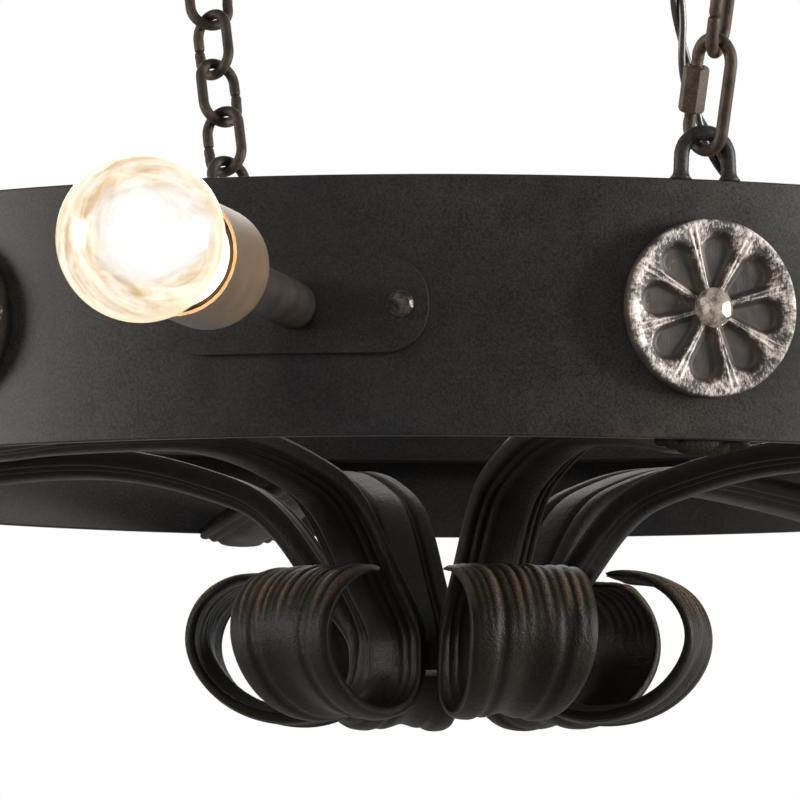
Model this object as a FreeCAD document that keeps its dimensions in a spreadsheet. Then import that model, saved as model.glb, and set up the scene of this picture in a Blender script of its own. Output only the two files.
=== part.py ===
import FreeCAD, Part
import Sketcher
import math
import os
import re

from FreeCAD import Placement, Rotation, Vector

# Wagon wheel chandelier, in millimetres.
# +Z is up, the wheel's axis is Z and the origin lies on it, in the plane of the ceiling.
# A place on the wheel is given by its azimuth: 0 points along -Y, and it grows towards +X.
# Rosettes, spokes, staples and chains share six azimuths, and the lamps stand halfway between.

doc = FreeCAD.newDocument("WagonWheelChandelier")
sheet = doc.addObject("Spreadsheet::Sheet", "Sizes")

SIZES = [
    # the wheel
    ("bay_count", 6, "spokes, lamps and chains round the wheel"),
    ("band_radius", 304.8, "outer radius of the rim band"),
    ("band_height", 101.6, "height of the rim band"),
    ("band_wall", 4.8, "thickness of the rim band"),
    ("band_edge_round", 0.8, "rounding of the rim band's edges"),
    ("fit_gap", 0.1, "radial clearance of shanks and tubes in their holes"),
    ("seat_gap", 0.2, "clearance of pieces seated on the curved band"),
    # the wire raceway behind the band
    ("raceway_lift", 0.2, "raceway's middle above the middle of the band"),
    ("raceway_room", 2.5, "room in the raceway above and below a locknut's flats"),
    ("raceway_depth", 20.0, "depth of the raceway, in from the band"),
    ("raceway_wall", 1.5, "sheet thickness of the raceway"),
    # spokes
    ("spoke_width", 33.0, "width of the moulded strap"),
    ("spoke_thick", 13.0, "thickness of the moulded strap"),
    ("foot_width", 40.0, "width of the spoke's flared foot"),
    ("scroll_width", 60.0, "width of the scroll's fishtail tip"),
    ("scroll_thick", 5.5, "thickness of the forged scroll"),
    ("stem_radius", 38.0, "radius of the bundled stems' centreline"),
    ("hub_length", 12.0, "length of the hexagonal hub core"),
    ("hub_bore", 6.5, "radius of the hub core's bore"),
    # staples
    ("staple_rod", 3.0, "radius of the staple's rod"),
    ("staple_spread", 19.5, "distance between the staple's legs"),
    ("staple_rise", 18.5, "crown's centreline above the band"),
    ("weld_rise", 2.0, "height of the weld at a staple's foot"),
    ("weld_reach", 1.2, "reach of the weld round a staple's foot"),
    # rosettes
    ("rosette_radius", 34.8, "radius of the rosette"),
    ("rosette_thick", 7.5, "thickness of the rosette at its rim"),
    ("rosette_rim", 3.2, "width of the rosette's raised rim"),
    ("rosette_dish", 1.6, "depth of the dished face below the rim"),
    ("petal_count", 8, "petals of the rosette"),
    ("petal_depth", 2.4, "depth of a petal below the dished face"),
    ("rosette_shank", 3.0, "radius of the rosette rivet's shank"),
    ("rosette_head", 7.8, "radius of the rosette rivet's head"),
    ("rosette_head_tall", 5.0, "height of the rosette rivet's head"),
    # lamp plates
    ("lamp_shift", 3.0, "lamp's distance along the band from the middle of its bay"),
    ("plate_length", 105.0, "length of the lamp plate round the band"),
    ("plate_width", 37.5, "width of the lamp plate"),
    ("plate_corner", 17.0, "corner radius of the lamp plate"),
    ("plate_wall", 2.5, "thickness of the lamp plate"),
    ("plate_rivet_reach", 42.0, "rivet's distance from the lamp's axis"),
    ("plate_shank", 2.0, "radius of the plate rivet's shank"),
    ("plate_head", 5.2, "radius of the plate rivet's head"),
    ("plate_head_tall", 3.2, "height of the plate rivet's head"),
    # arms and sockets
    ("arm_radius", 9.5, "outer radius of the arm's pipe"),
    ("arm_wall", 1.8, "wall of the arm's pipe"),
    ("arm_inset", 15.0, "pipe's end inside the band's inner face"),
    ("arm_reach", 143.0, "socket sleeve's back, out from the band"),
    ("locknut_flats", 24.0, "width of the locknuts across their flats"),
    ("locknut_thick", 5.0, "thickness of the locknuts"),
    ("sleeve_radius", 23.0, "outer radius of the socket sleeve"),
    ("sleeve_length", 52.0, "length of the socket sleeve"),
    ("sleeve_wall", 1.2, "wall of the socket sleeve"),
    ("sleeve_slit", 0.8, "width of the sleeve's open seam"),
    ("holder_radius", 19.5, "outer radius of the lampholder"),
    ("holder_mouth", 3.0, "lampholder's mouth behind the sleeve's rim"),
    ("holder_floor", 15.5, "thickness of the lampholder's floor"),
    ("shell_bore", 13.45, "inner radius of the screw shell"),
    ("shell_wall", 0.5, "wall of the screw shell"),
    ("shell_short", 2.0, "screw shell's edge behind the lampholder's mouth"),
    # bulbs
    ("cap_radius", 13.1, "radius of the bulb's screw cap"),
    ("cap_length", 26.0, "length of the bulb's screw cap"),
    ("contact_radius", 4.5, "radius of the bulb's end contact"),
    ("contact_tall", 1.5, "height of the bulb's end contact"),
    ("contact_gap", 0.3, "gap between the bulb's end contact and its seat"),
    ("cap_cone", 4.0, "length of the insulated cone at the cap's end"),
    ("bulb_radius", 30.0, "radius of the glass"),
    ("bulb_centre", 77.0, "globe's centre from the bulb's end contact"),
    ("neck_radius", 13.4, "radius of the glass neck"),
    ("glass_wall", 0.8, "wall of the glass"),
    ("stem_rod", 2.6, "radius of the glass stem"),
    ("stem_length", 38.0, "length of the glass stem"),
    ("flare_length", 6.2, "length of the glass stem's flare"),
    ("filament_rod", 0.5, "radius of a filament strand"),
    ("filament_count", 6, "strands of the filament cage"),
    ("filament_length", 24.0, "length of the filament cage"),
    ("filament_spread", 9.0, "radius of the filament cage at its far end"),
    # chains
    ("chain_lean", 21.0, "lean of the chains from upright, in degrees"),
    ("link_count", 5, "links of each chain"),
    ("link_rod", 2.5, "radius of the chain's wire"),
    ("link_spread", 18.8, "link's width between wire centres"),
    ("link_reach", 31.6, "link's length between wire centres"),
    ("link_play", 0.3, "play between two links"),
    ("staple_play", 1.3, "play between a quick link and its staple"),
    ("quick_rod", 2.5, "radius of the quick link's wire"),
    ("quick_spread", 18.0, "quick link's width between wire centres"),
    ("quick_reach", 44.5, "quick link's length between wire centres"),
    ("quick_gap", 5.2, "opening in the quick link's bar"),
    ("nut_cover", 0.6, "sleeve nut's reach below the opening"),
    ("nut_flats", 9.4, "width of the sleeve nut across its flats"),
    ("nut_length", 18.5, "length of the sleeve nut"),
    ("nut_play", 0.3, "radial clearance of the sleeve nut's bore"),
    ("nut_edge", 0.8, "chamfer of the sleeve nut's ends"),
    # ceiling fittings
    ("hook_rod", 3.0, "radius of the hook's wire"),
    ("hook_radius", 9.0, "radius of the hook's bend"),
    ("hook_depth", 36.0, "hook's seat below the ceiling"),
    ("hook_sweep", 215.0, "sweep of the hook's bend, in degrees"),
    ("hook_play", 0.1, "play of a chain in its hook"),
    ("ceiling_plate_radius", 30.0, "radius of a ceiling plate"),
    ("ceiling_plate_thick", 3.0, "thickness of a ceiling plate"),
    ("ceiling_boss_radius", 8.0, "radius of a ceiling plate's boss"),
    ("ceiling_boss_tall", 6.0, "height of a ceiling plate's boss"),
    ("screw_hole", 2.4, "radius of a ceiling plate's screw hole"),
    ("screw_circle", 21.0, "radius of the screw holes' circle"),
    ("screw_count", 3, "screw holes of a ceiling plate"),
    # supply cord
    ("cord_radius", 3.0, "radius of the supply cord"),
    ("cord_gap", 0.3, "clearance of the cord in its bushings"),
    ("canopy_radius", 20.0, "radius of the cord's ceiling bushing"),
    ("canopy_thick", 5.0, "thickness of the cord's ceiling bushing"),
    ("grommet_wall", 1.5, "wall of the grommet in the raceway"),
    ("grommet_flange", 3.0, "reach of the grommet's flange"),
]
# sizes worked out from the ones above
DERIVED = [
    ("band_inner", "band_radius - band_wall", "inner radius of the rim band"),
    ("raceway_outer", "band_inner - seat_gap", "raceway's radius next to the band"),
    ("raceway_inner", "band_inner - raceway_depth", "raceway's inner radius"),
    ("raceway_tall", "locknut_flats + 2 * raceway_room + 2 * raceway_wall", "height of the raceway"),
    ("raceway_low", "band_height / 2 + raceway_lift - raceway_tall / 2",
     "raceway's lower face above the band's lower edge"),
    ("raceway_high", "raceway_low + raceway_tall", "raceway's upper face above the band's lower edge"),
    ("grommet_bore", "cord_radius + cord_gap", "radius of the grommet's bore"),
    ("grommet_neck", "grommet_bore + grommet_wall", "radius of the grommet's neck"),
    ("arm_start", "band_inner - arm_inset", "arm's inner end from the axis"),
    ("sleeve_back", "band_radius + arm_reach", "socket sleeve's back from the axis"),
    ("nut_seat", "sleeve_back + sleeve_wall", "inside of the sleeve's back"),
    ("arm_end", "nut_seat + locknut_thick + arm_wall", "arm's outer end"),
    ("sleeve_rim", "sleeve_back + sleeve_length", "socket sleeve's rim"),
    ("holder_rim", "sleeve_rim - holder_mouth", "lampholder's mouth"),
    ("holder_seat", "arm_end + holder_floor", "lampholder's floor inside"),
    ("holder_bore", "shell_bore + shell_wall + fit_gap", "radius of the lampholder's bore"),
    ("bulb_end", "holder_seat + contact_tall + contact_gap", "bulb's end contact"),
]
SIZES += [(alias, "=" + formula, note) for alias, formula, note in DERIVED]
for row, (alias, value, note) in enumerate(SIZES, start=1):
    sheet.set("A%d" % row, alias)
    sheet.set("B%d" % row, str(value))
    sheet.set("C%d" % row, note)
    sheet.setAlias("B%d" % row, alias)
doc.recompute()


def size(alias):
    """One driving dimension, read from the sheet."""
    return float(sheet.get(alias))


UP = Vector(0, 0, 1)
OUT = Vector(0, -1, 0)      # outwards at azimuth 0
SIDE = Vector(1, 0, 0)      # along the band at azimuth 0
HEX = 6
BAYS = int(size("bay_count"))
BAY_ANGLE = 360.0 / BAYS
band_inner = size("band_inner")
band_middle = size("band_radius") - size("band_wall") / 2
mid_height = size("band_height") / 2

# ---- where the chains put the wheel ------------------------------------------------------
# A chain is laid out along its own line, down from the hook's seat, which is at 0.
lean = math.radians(size("chain_lean"))
top_bow = size("hook_rod") + size("link_rod") + size("hook_play")
link_step = size("link_reach") - 2 * size("link_rod") - size("link_play")
link_count = int(size("link_count"))
last_bow = top_bow - size("link_reach") - (link_count - 1) * link_step
quick_top = last_bow + size("link_rod") + size("quick_rod") + size("link_play")
quick_low = quick_top - size("quick_reach")
crown_along = quick_low + size("quick_rod") + size("staple_rod") + size("staple_play")
chain_fall = -crown_along * math.cos(lean)
chain_spread = -crown_along * math.sin(lean)
seat_height = -size("hook_depth")
seat_radius = band_middle + chain_spread
wheel_height = seat_height - chain_fall - size("staple_rise") - size("band_height")
wheel_place = Placement(Vector(0, 0, wheel_height), Rotation())

parts = []


def keep(label, shape, place=Placement()):
    """A sub-part from a shape, with its own label and placement."""
    piece = doc.addObject("Part::Feature", label)
    piece.Label = label
    piece.Shape = shape
    piece.Placement = place.multiply(shape.Placement)
    parts.append(piece)
    return piece


def group(label, shape, places):
    """A sub-part of several separate copies of one solid."""
    copies = []
    for place in places:
        copy = shape.copy()
        copy.Placement = place.multiply(shape.Placement)
        copies.append(copy)
    return keep(label, Part.makeCompound(copies))


def around(azimuth, height=wheel_height):
    """The placement of a piece drawn at azimuth 0 with the band's lower edge at Z = 0."""
    return Placement(Vector(0, 0, height), Rotation(UP, azimuth))


def spoke_azimuths():
    return [BAY_ANGLE * bay for bay in range(BAYS)]


def lamp_azimuths():
    """The lamps stand about halfway between the spokes, all shifted the same way."""
    shift = math.degrees(size("lamp_shift") / size("band_radius"))
    return [BAY_ANGLE * (bay + 0.5) - shift for bay in range(BAYS)]


def solid_along(radius, start, length, direction):
    return Part.makeCylinder(radius, length, start, direction)


def tube_along(outer, inner, start, length, direction):
    return solid_along(outer, start, length, direction).cut(solid_along(inner, start, length, direction))


def bent_rod(rod, bend, centre, first, axis, sweep):
    """A round rod bent about centre, from the unit vector first round the unit vector axis."""
    start = centre + first * bend
    disc = Part.Face(Part.Wire(Part.makeCircle(rod, start, axis.cross(first))))
    return disc.revolve(centre, axis, sweep)


def polygon(sides, flats, centre, direction):
    """A regular polygon of the given width across its flats, square to direction."""
    corner = flats / 2 / math.cos(math.pi / sides)
    turn = Rotation(UP, direction)
    points = []
    for side in range(sides + 1):
        angle = 2 * math.pi * (side + 0.5) / sides
        points.append(centre + turn.multVec(Vector(corner * math.cos(angle), corner * math.sin(angle), 0)))
    return Part.makePolygon(points)


def prism(sides, flats, start, length, direction):
    return Part.Face(polygon(sides, flats, start, direction)).extrude(direction * length)


def origin_plane(body, role):
    for feature in body.Origin.OriginFeatures:
        if feature.Role == role:
            return feature
    raise RuntimeError("no plane " + role)


def sketch_on(body, role, name):
    sketch = body.newObject("Sketcher::SketchObject", name)
    sketch.AttachmentSupport = [(origin_plane(body, role), "")]
    sketch.MapMode = "FlatFace"
    return sketch


def in_sheet(formula):
    """A formula in the sheet's aliases, as it is written outside the sheet."""
    return re.sub("[a-z_]+", lambda found: "Sizes." + found.group(0), formula)


def outline(sketch, corners):
    """A closed outline. Each corner is a pair of formulas, for its radius and its height; the
    formula 0 rests it on the sketch's axis."""
    drawn = [[float(sheet.evalExpression(formula)) for formula in corner] for corner in corners]
    points = [Vector(across, height, 0) for across, height in drawn]
    for number, point in enumerate(points):
        sketch.addGeometry(Part.LineSegment(point, points[(number + 1) % len(points)]))
    for number in range(len(points)):
        following = (number + 1) % len(points)
        sketch.addConstraint(Sketcher.Constraint("Coincident", number, 2, following, 1))
    for number, corner in enumerate(corners):
        for place, (kind, axis) in enumerate((("DistanceX", -2), ("DistanceY", -1))):
            if corner[place] == "0":
                sketch.addConstraint(Sketcher.Constraint("PointOnObject", number, 1, axis))
            else:
                held = Sketcher.Constraint(kind, -1, 1, number, 1, drawn[number][place])
                index = sketch.addConstraint(held)
                sketch.setExpression("Constraints[%d]" % index, in_sheet(corner[place]))


def turned_body(name, corners):
    """A body turned about Z from the outline of its section."""
    body = doc.addObject("PartDesign::Body", name + "_body")
    section = sketch_on(body, "XZ_Plane", name + "_section")
    outline(section, corners)
    turn = body.newObject("PartDesign::Revolution", name + "_turn")
    turn.Profile = section
    turn.ReferenceAxis = (section, ["V_Axis"])
    turn.Angle = 360.0
    doc.recompute()
    return body


def turned_shape(name, corners, place=Placement()):
    """The same as a shape, moved to its place."""
    shape = turned_body(name, corners).Shape.copy()
    shape.Placement = place.multiply(shape.Placement)
    return shape


# ---- rim band -----------------------------------------------------------------------------
# A strip rolled to a hoop, drilled for the rivets and for the lamps' arms.
def rim_band():
    blank = turned_body("rim_blank", [("band_inner", "0"), ("band_radius", "0"),
                                      ("band_radius", "band_height"), ("band_inner", "band_height")])
    hoop = blank.Tip
    rounding = blank.newObject("PartDesign::Fillet", "rim_rounding")
    rounding.Base = (hoop, ["Edge%d" % (index + 1) for index, edge in enumerate(hoop.Shape.Edges)
                            if isinstance(edge.Curve, Part.Circle)])
    rounding.setExpression("Radius", in_sheet("band_edge_round"))
    doc.recompute()
    shape = blank.Shape
    for azimuths, offset, radius in (
            (spoke_azimuths(), 0.0, size("rosette_shank")),
            (lamp_azimuths(), 0.0, size("arm_radius")),
            (lamp_azimuths(), -size("plate_rivet_reach"), size("plate_shank")),
            (lamp_azimuths(), size("plate_rivet_reach"), size("plate_shank"))):
        for azimuth in azimuths:
            turn = Rotation(UP, azimuth + math.degrees(offset / size("band_radius")))
            start = turn.multVec(OUT * (band_inner - size("band_wall"))) + Vector(0, 0, mid_height)
            shape = shape.cut(solid_along(radius + size("fit_gap"), start, 3 * size("band_wall"),
                                          turn.multVec(OUT)))
    keep("rim_band", shape, wheel_place)


rim_band()


# ---- wire raceway --------------------------------------------------------------------------
# A channel behind the band, open towards it, that hides the wiring and the locknuts.
CORD_ENTRY = (27.0, -11.0)   # where the cord goes in: along the band from chain 1 and out from
                             # the band's inner face


def cord_point(side, out, height):
    return Vector(side, -band_inner - out, height)


def cord_entry(height):
    return cord_point(CORD_ENTRY[0], CORD_ENTRY[1], height)


def wire_raceway():
    shape = turned_shape("raceway", [
        ("raceway_inner", "raceway_low"), ("raceway_outer", "raceway_low"),
        ("raceway_outer", "raceway_low + raceway_wall"),
        ("raceway_inner + raceway_wall", "raceway_low + raceway_wall"),
        ("raceway_inner + raceway_wall", "raceway_high - raceway_wall"),
        ("raceway_outer", "raceway_high - raceway_wall"),
        ("raceway_outer", "raceway_high"), ("raceway_inner", "raceway_high")])
    wall = size("raceway_wall")
    hole = size("grommet_neck") + size("fit_gap")
    shape = shape.cut(solid_along(hole, cord_entry(size("raceway_high") - 2 * wall), 3 * wall, UP))
    keep("wire_raceway", shape, wheel_place)


def raceway_grommet():
    lip = "grommet_neck + fit_gap + raceway_wall / 2"
    flange = "grommet_neck + grommet_flange"
    place = Placement(cord_entry(size("raceway_high") - 2 * size("raceway_wall")), Rotation())
    bushing = turned_shape("grommet", [
        ("grommet_bore", "0"), (lip, "0"), (lip, "raceway_wall"), ("grommet_neck", "raceway_wall"),
        ("grommet_neck", "2 * raceway_wall"), (flange, "2 * raceway_wall"),
        (flange, "3 * raceway_wall"), ("grommet_bore", "3 * raceway_wall")], place)
    keep("raceway_grommet", bushing, wheel_place)


wire_raceway()
raceway_grommet()


# ---- spokes --------------------------------------------------------------------------------
# Each spoke is one strap: it arches in from the rim, drops into the bundled stem at the axis
# and curls outwards into a forged scroll. Heights are above the band's lower edge.
SPOKE_LEAD = 1.0             # how far the arch's drawn end runs into the band before it is cut
# the arch as (share of the way from the stem's line to that end, height)
SPOKE_ARCH = [(1.0, -1.8), (0.825, 6.0), (0.631, 11.3), (0.445, 13.4), (0.319, 8.6), (0.240, 2.4),
              (0.175, -5), (0.125, -17), (0.084, -32), (0.042, -47), (0.011, -58)]
STEM = [-66.0, -72.0, -78.0]
# the scroll's centreline as (radius, height)
SCROLL = [(43, -89.5), (54, -96.3), (70, -98), (87, -93.5), (102, -81.5), (108.5, -66),
          (103.5, -49), (89, -39), (72, -37.5)]
SPOKE_SECTIONS = 40
SPOKE_FOOT = 0.125           # share of the route over which the foot flares
SCROLL_START = 0.60          # share of the route where the forging begins
SCROLL_THIN = 0.74           # and where it has reached its thickness
# The strap's moulded section as (share of half the width, share of half the thickness). Its
# crowned side is under the arch, outside the stem and inside the scroll, and a shallow channel
# runs along the other side.
MOULDING = [(-1.0, -1.0), (-0.5, -1.0), (-0.4, -0.72), (0.4, -0.72), (0.5, -1.0), (1.0, -1.0),
            (1.0, 0.1), (0.74, 0.3), (0.4, 0.86), (0.0, 1.0), (-0.4, 0.86), (-0.74, 0.3),
            (-1.0, 0.1)]


def ease(share):
    share = min(1.0, max(0.0, share))
    return share * share * (3 - 2 * share)


def spoke_shape():
    stem = size("stem_radius")
    span = band_inner + SPOKE_LEAD - stem
    route = [(stem + share * span, height) for share, height in SPOKE_ARCH]
    route += [(stem, height) for height in STEM] + SCROLL
    curve = Part.BSplineCurve()
    curve.interpolate([Vector(0, -radius, height) for radius, height in route])
    length = curve.length()
    rings = []
    for index in range(SPOKE_SECTIONS + 1):
        share = index / SPOKE_SECTIONS
        at = curve.parameterAtDistance(share * length, curve.FirstParameter)
        centre = curve.value(at)
        along = curve.tangent(at)[0]
        face = along.cross(SIDE)
        foot = ease(1 - share / SPOKE_FOOT)
        tail = ease((share - SCROLL_START) / (1 - SCROLL_START))
        thin = ease((share - SCROLL_START) / (SCROLL_THIN - SCROLL_START))
        width = size("spoke_width") + foot * (size("foot_width") - size("spoke_width"))
        width += tail * (size("scroll_width") - size("spoke_width"))
        thick = size("spoke_thick") + thin * (size("scroll_thick") - size("spoke_thick"))
        points = [centre + SIDE * (across * width / 2) + face * (depth * thick / 2)
                  for across, depth in MOULDING]
        rings.append(Part.makePolygon(points + points[:1]))
    strap = Part.makeLoft(rings, True, True)
    reach = band_inner - size("seat_gap")
    strap = strap.common(solid_along(reach, Vector(0, 0, -size("band_radius")), 2 * size("band_radius"), UP))
    return strap.cut(hub_blank())


def hub_blank():
    """The bar that the stems are ground to fit, a flat to each of them."""
    flats = 2 * (size("stem_radius") - size("spoke_thick") / 2)
    start = Vector(0, 0, STEM[1] - size("hub_length") / 2)
    return prism(BAYS, flats, start, size("hub_length"), UP)


def hub_core():
    """The bored core that the stems are welded round."""
    core = hub_blank()
    bore = solid_along(size("hub_bore"), Vector(0, 0, STEM[1] - size("hub_length")),
                       2 * size("hub_length"), UP)
    keep("hub_core", core.cut(bore), wheel_place)


spoke = spoke_shape()
for number, azimuth in enumerate(spoke_azimuths(), start=1):
    keep("spoke_%d" % number, spoke, around(azimuth))
hub_core()


# ---- staples -------------------------------------------------------------------------------
def staple_shape():
    rod = size("staple_rod")
    bend = size("staple_spread") / 2
    top = size("band_height")
    straight = size("staple_rise") - bend
    centre = Vector(0, -band_middle, top + straight)
    crown = bent_rod(rod, bend, centre, SIDE, SIDE.cross(UP), 180)
    pieces = []
    for side in (-1, 1):
        foot = Vector(side * bend, -band_middle, top)
        pieces.append(solid_along(rod, foot, straight, UP))
        pieces.append(Part.makeCone(rod + size("weld_reach"), rod, size("weld_rise"), foot, UP))
    return crown.fuse(pieces).removeSplitter()


group("rim_staples", staple_shape(), [around(azimuth) for azimuth in spoke_azimuths()])


# ---- rosettes ------------------------------------------------------------------------------
# A cast disc with a raised rim and a dished face, cut by petals that widen outwards.
PETAL_ROOT = 0.30            # petal's inner end and its root's half width, as shares of the
PETAL_ROOT_HALF = 0.045      # rosette's radius
PETAL_WIDE = 0.66            # where the petal is widest, its half width there,
PETAL_WIDE_HALF = 0.20
PETAL_TIP = 0.87             # and its outer end


def rosette_shape():
    radius = size("rosette_radius")
    thick = size("rosette_thick")
    dish = thick - size("rosette_dish")
    rim = radius - size("rosette_rim")
    profile = [Vector(0, 0, 0), Vector(radius, 0, 0), Vector(radius, 0, thick - size("band_edge_round")),
               Vector(radius - size("band_edge_round"), 0, thick), Vector(rim, 0, thick),
               Vector(rim - size("rosette_dish"), 0, dish), Vector(0, 0, dish)]
    disc = Part.Face(Part.makePolygon(profile + profile[:1])).revolve(Vector(), UP, 360)
    floor = dish - size("petal_depth")
    root = PETAL_ROOT * radius
    root_half = PETAL_ROOT_HALF * radius
    wide = PETAL_WIDE * radius
    wide_half = PETAL_WIDE_HALF * radius
    corners = [Vector(root, root_half, floor), Vector(root, -root_half, floor),
               Vector(wide, -wide_half, floor), Vector(wide, wide_half, floor)]
    edges = [Part.makeLine(corners[0], corners[1]), Part.makeLine(corners[1], corners[2]),
             Part.Arc(corners[2], Vector(PETAL_TIP * radius, 0, floor), corners[3]).toShape(),
             Part.makeLine(corners[3], corners[0])]
    petal = Part.Face(Part.Wire(edges)).extrude(UP * thick)
    petals = int(size("petal_count"))
    for number in range(petals):
        cutter = petal.copy()
        cutter.rotate(Vector(), UP, 360.0 * number / petals)
        disc = disc.cut(cutter)
    disc = disc.cut(solid_along(size("rosette_shank") + size("fit_gap"), Vector(), thick, UP))
    disc.rotate(Vector(), SIDE, 90)
    disc.translate(Vector(0, -size("band_radius") - size("seat_gap"), mid_height))
    return disc


RIVET_FACETS = 8
RIVET_WAIST = 0.4            # height of a rivet head's widest girth, as a share of the head's
RIVET_FOOT = 0.95            # head's width where it meets the plate, as a share of its widest
RIVET_CROWN = 0.55           # and across its flat top


def rivet_shape(shank, head, head_tall, face, tail):
    """A rivet along the radius: a faceted head on face, a clinched tail behind the band."""
    base = Vector(0, -face, mid_height)
    waist = base + OUT * (head_tall * RIVET_WAIST)
    top = base + OUT * head_tall
    girth = polygon(RIVET_FACETS, 2 * head, waist, OUT)
    skirt = Part.makeLoft([polygon(RIVET_FACETS, 2 * head * RIVET_FOOT, base, OUT), girth], True, True)
    crown = Part.makeLoft([girth, polygon(RIVET_FACETS, 2 * head * RIVET_CROWN, top, OUT)], True, True)
    inside = band_inner - size("seat_gap")
    back = Vector(0, -inside + tail / 2, mid_height)
    body = solid_along(shank, back, face - inside + tail / 2, OUT)
    clinch = solid_along(tail, back, tail / 2 - size("seat_gap"), OUT)
    return skirt.fuse([crown, body, clinch]).removeSplitter()


rosette_face = size("band_radius") + size("seat_gap") + size("rosette_thick") - size("rosette_dish")
group("rosettes", rosette_shape(), [around(azimuth) for azimuth in spoke_azimuths()])
group("rosette_rivets",
      rivet_shape(size("rosette_shank"), size("rosette_head"), size("rosette_head_tall"),
                  rosette_face, 1.8 * size("rosette_shank")),
      [around(azimuth) for azimuth in spoke_azimuths()])


# ---- lamp plates ---------------------------------------------------------------------------
# A round-ended plate, rolled to the band and riveted to it either side of the arm.
def lamp_plate():
    length = size("plate_length")
    width = size("plate_width")
    corner = size("plate_corner")
    depth = size("band_radius") + 2 * size("plate_wall")
    block = Part.makeBox(length, depth, width, Vector(-length / 2, -depth, mid_height - width / 2))
    ends = [edge for edge in block.Edges
            if edge.Vertexes[0].Y != edge.Vertexes[1].Y]
    block = block.makeFillet(corner, ends)
    inner = size("band_radius") + size("seat_gap")
    shell = tube_along(inner + size("plate_wall"), inner, Vector(), size("band_height"), UP)
    plate = shell.common(block)
    plate = plate.cut(solid_along(size("arm_radius") + size("fit_gap"), Vector(0, -band_inner, mid_height),
                                  depth, OUT))
    for turn in rivet_turns():
        hole = solid_along(size("plate_shank") + size("fit_gap"), Vector(0, -band_inner, mid_height),
                           depth, OUT)
        hole.rotate(Vector(), UP, turn)
        plate = plate.cut(hole)
    return plate


def rivet_turns():
    """How far round the axis the plate's rivets stand from the arm, in degrees."""
    turn = math.degrees(size("plate_rivet_reach") / size("band_radius"))
    return [-turn, turn]


plate_face = size("band_radius") + 2 * size("seat_gap") + size("plate_wall")
group("lamp_plates", lamp_plate(), [around(azimuth) for azimuth in lamp_azimuths()])
group("plate_rivets",
      rivet_shape(size("plate_shank"), size("plate_head"), size("plate_head_tall"),
                  plate_face, 2 * size("plate_shank")),
      [around(azimuth + turn) for azimuth in lamp_azimuths() for turn in rivet_turns()])


# ---- arms, sleeves and lampholders ---------------------------------------------------------
# Each lamp lies along the radius at mid height; its outlines' heights, like its other places,
# are distances from the wheel's axis.
sleeve_rim = size("sleeve_rim")
nut_seat = size("nut_seat")
bulb_end = size("bulb_end")
lamp_frame = Placement(Vector(0, 0, mid_height), Rotation(SIDE, 90))


def lamp_point(reach):
    return Vector(0, -reach, mid_height)


def lamp_solid(radius, start, end):
    return solid_along(radius, lamp_point(start), end - start, OUT)


def arm_shape():
    bore = "arm_radius - arm_wall"
    return turned_shape("arm", [(bore, "arm_start"), ("arm_radius", "arm_start"),
                                ("arm_radius", "arm_end"), (bore, "arm_end")], lamp_frame)


def locknuts_shape():
    """The nut inside the band and the nut inside the sleeve, on the pipe's thread."""
    nuts = []
    behind_band = band_inner - 3 * size("seat_gap") - size("locknut_thick")
    for start in (behind_band, nut_seat):
        nut = prism(HEX, size("locknut_flats"), lamp_point(start), size("locknut_thick"), OUT)
        bore = lamp_solid(size("arm_radius") + size("fit_gap") / 2, start, start + size("locknut_thick"))
        nuts.append(nut.cut(bore))
    return nuts


def sleeve_shape():
    """A cup with a clearance hole for the arm and one open seam along its top."""
    inner = "sleeve_radius - sleeve_wall"
    hole = "arm_radius + fit_gap"
    cup = turned_shape("sleeve", [(hole, "sleeve_back"), ("sleeve_radius", "sleeve_back"),
                                  ("sleeve_radius", "sleeve_rim"), (inner, "sleeve_rim"),
                                  (inner, "nut_seat"), (hole, "nut_seat")], lamp_frame)
    slit = Part.makeBox(size("sleeve_slit"), sleeve_rim - nut_seat, size("sleeve_radius"),
                        Vector(-size("sleeve_slit") / 2, -sleeve_rim, mid_height))
    return cup.cut(slit)


def holder_shape():
    return turned_shape("holder", [("0", "arm_end"), ("holder_radius", "arm_end"),
                                   ("holder_radius", "holder_rim"), ("holder_bore", "holder_rim"),
                                   ("holder_bore", "holder_seat"), ("0", "holder_seat")], lamp_frame)


def shell_shape():
    """The lamp socket's screw shell, its thread left plain."""
    outer = "shell_bore + shell_wall"
    mouth = "holder_rim - shell_short"
    return turned_shape("shell", [("shell_bore", "holder_seat"), (outer, "holder_seat"),
                                  (outer, mouth), ("shell_bore", mouth)], lamp_frame)


lamp_places = [around(azimuth) for azimuth in lamp_azimuths()]
group("lamp_arms", arm_shape(), lamp_places)
group("arm_locknuts", Part.makeCompound(locknuts_shape()), lamp_places)
group("socket_sleeves", sleeve_shape(), lamp_places)
group("lampholders", holder_shape(), lamp_places)
group("screw_shells", shell_shape(), lamp_places)


# ---- bulbs ---------------------------------------------------------------------------------
def bulb_cap():
    shoulder = "bulb_end + contact_tall"
    top = "bulb_end + cap_length"
    return turned_shape("cap", [("0", "bulb_end"), ("contact_radius", "bulb_end"),
                                ("contact_radius", shoulder), ("cap_radius", shoulder + " + cap_cone"),
                                ("cap_radius", top), ("0", top)], lamp_frame)


GLOBE_JOIN = math.radians(50)       # where the neck's curve meets the globe
NECK_HOLLOW = 0.16                  # how far that curve sinks in, as a share of its rise


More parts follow.
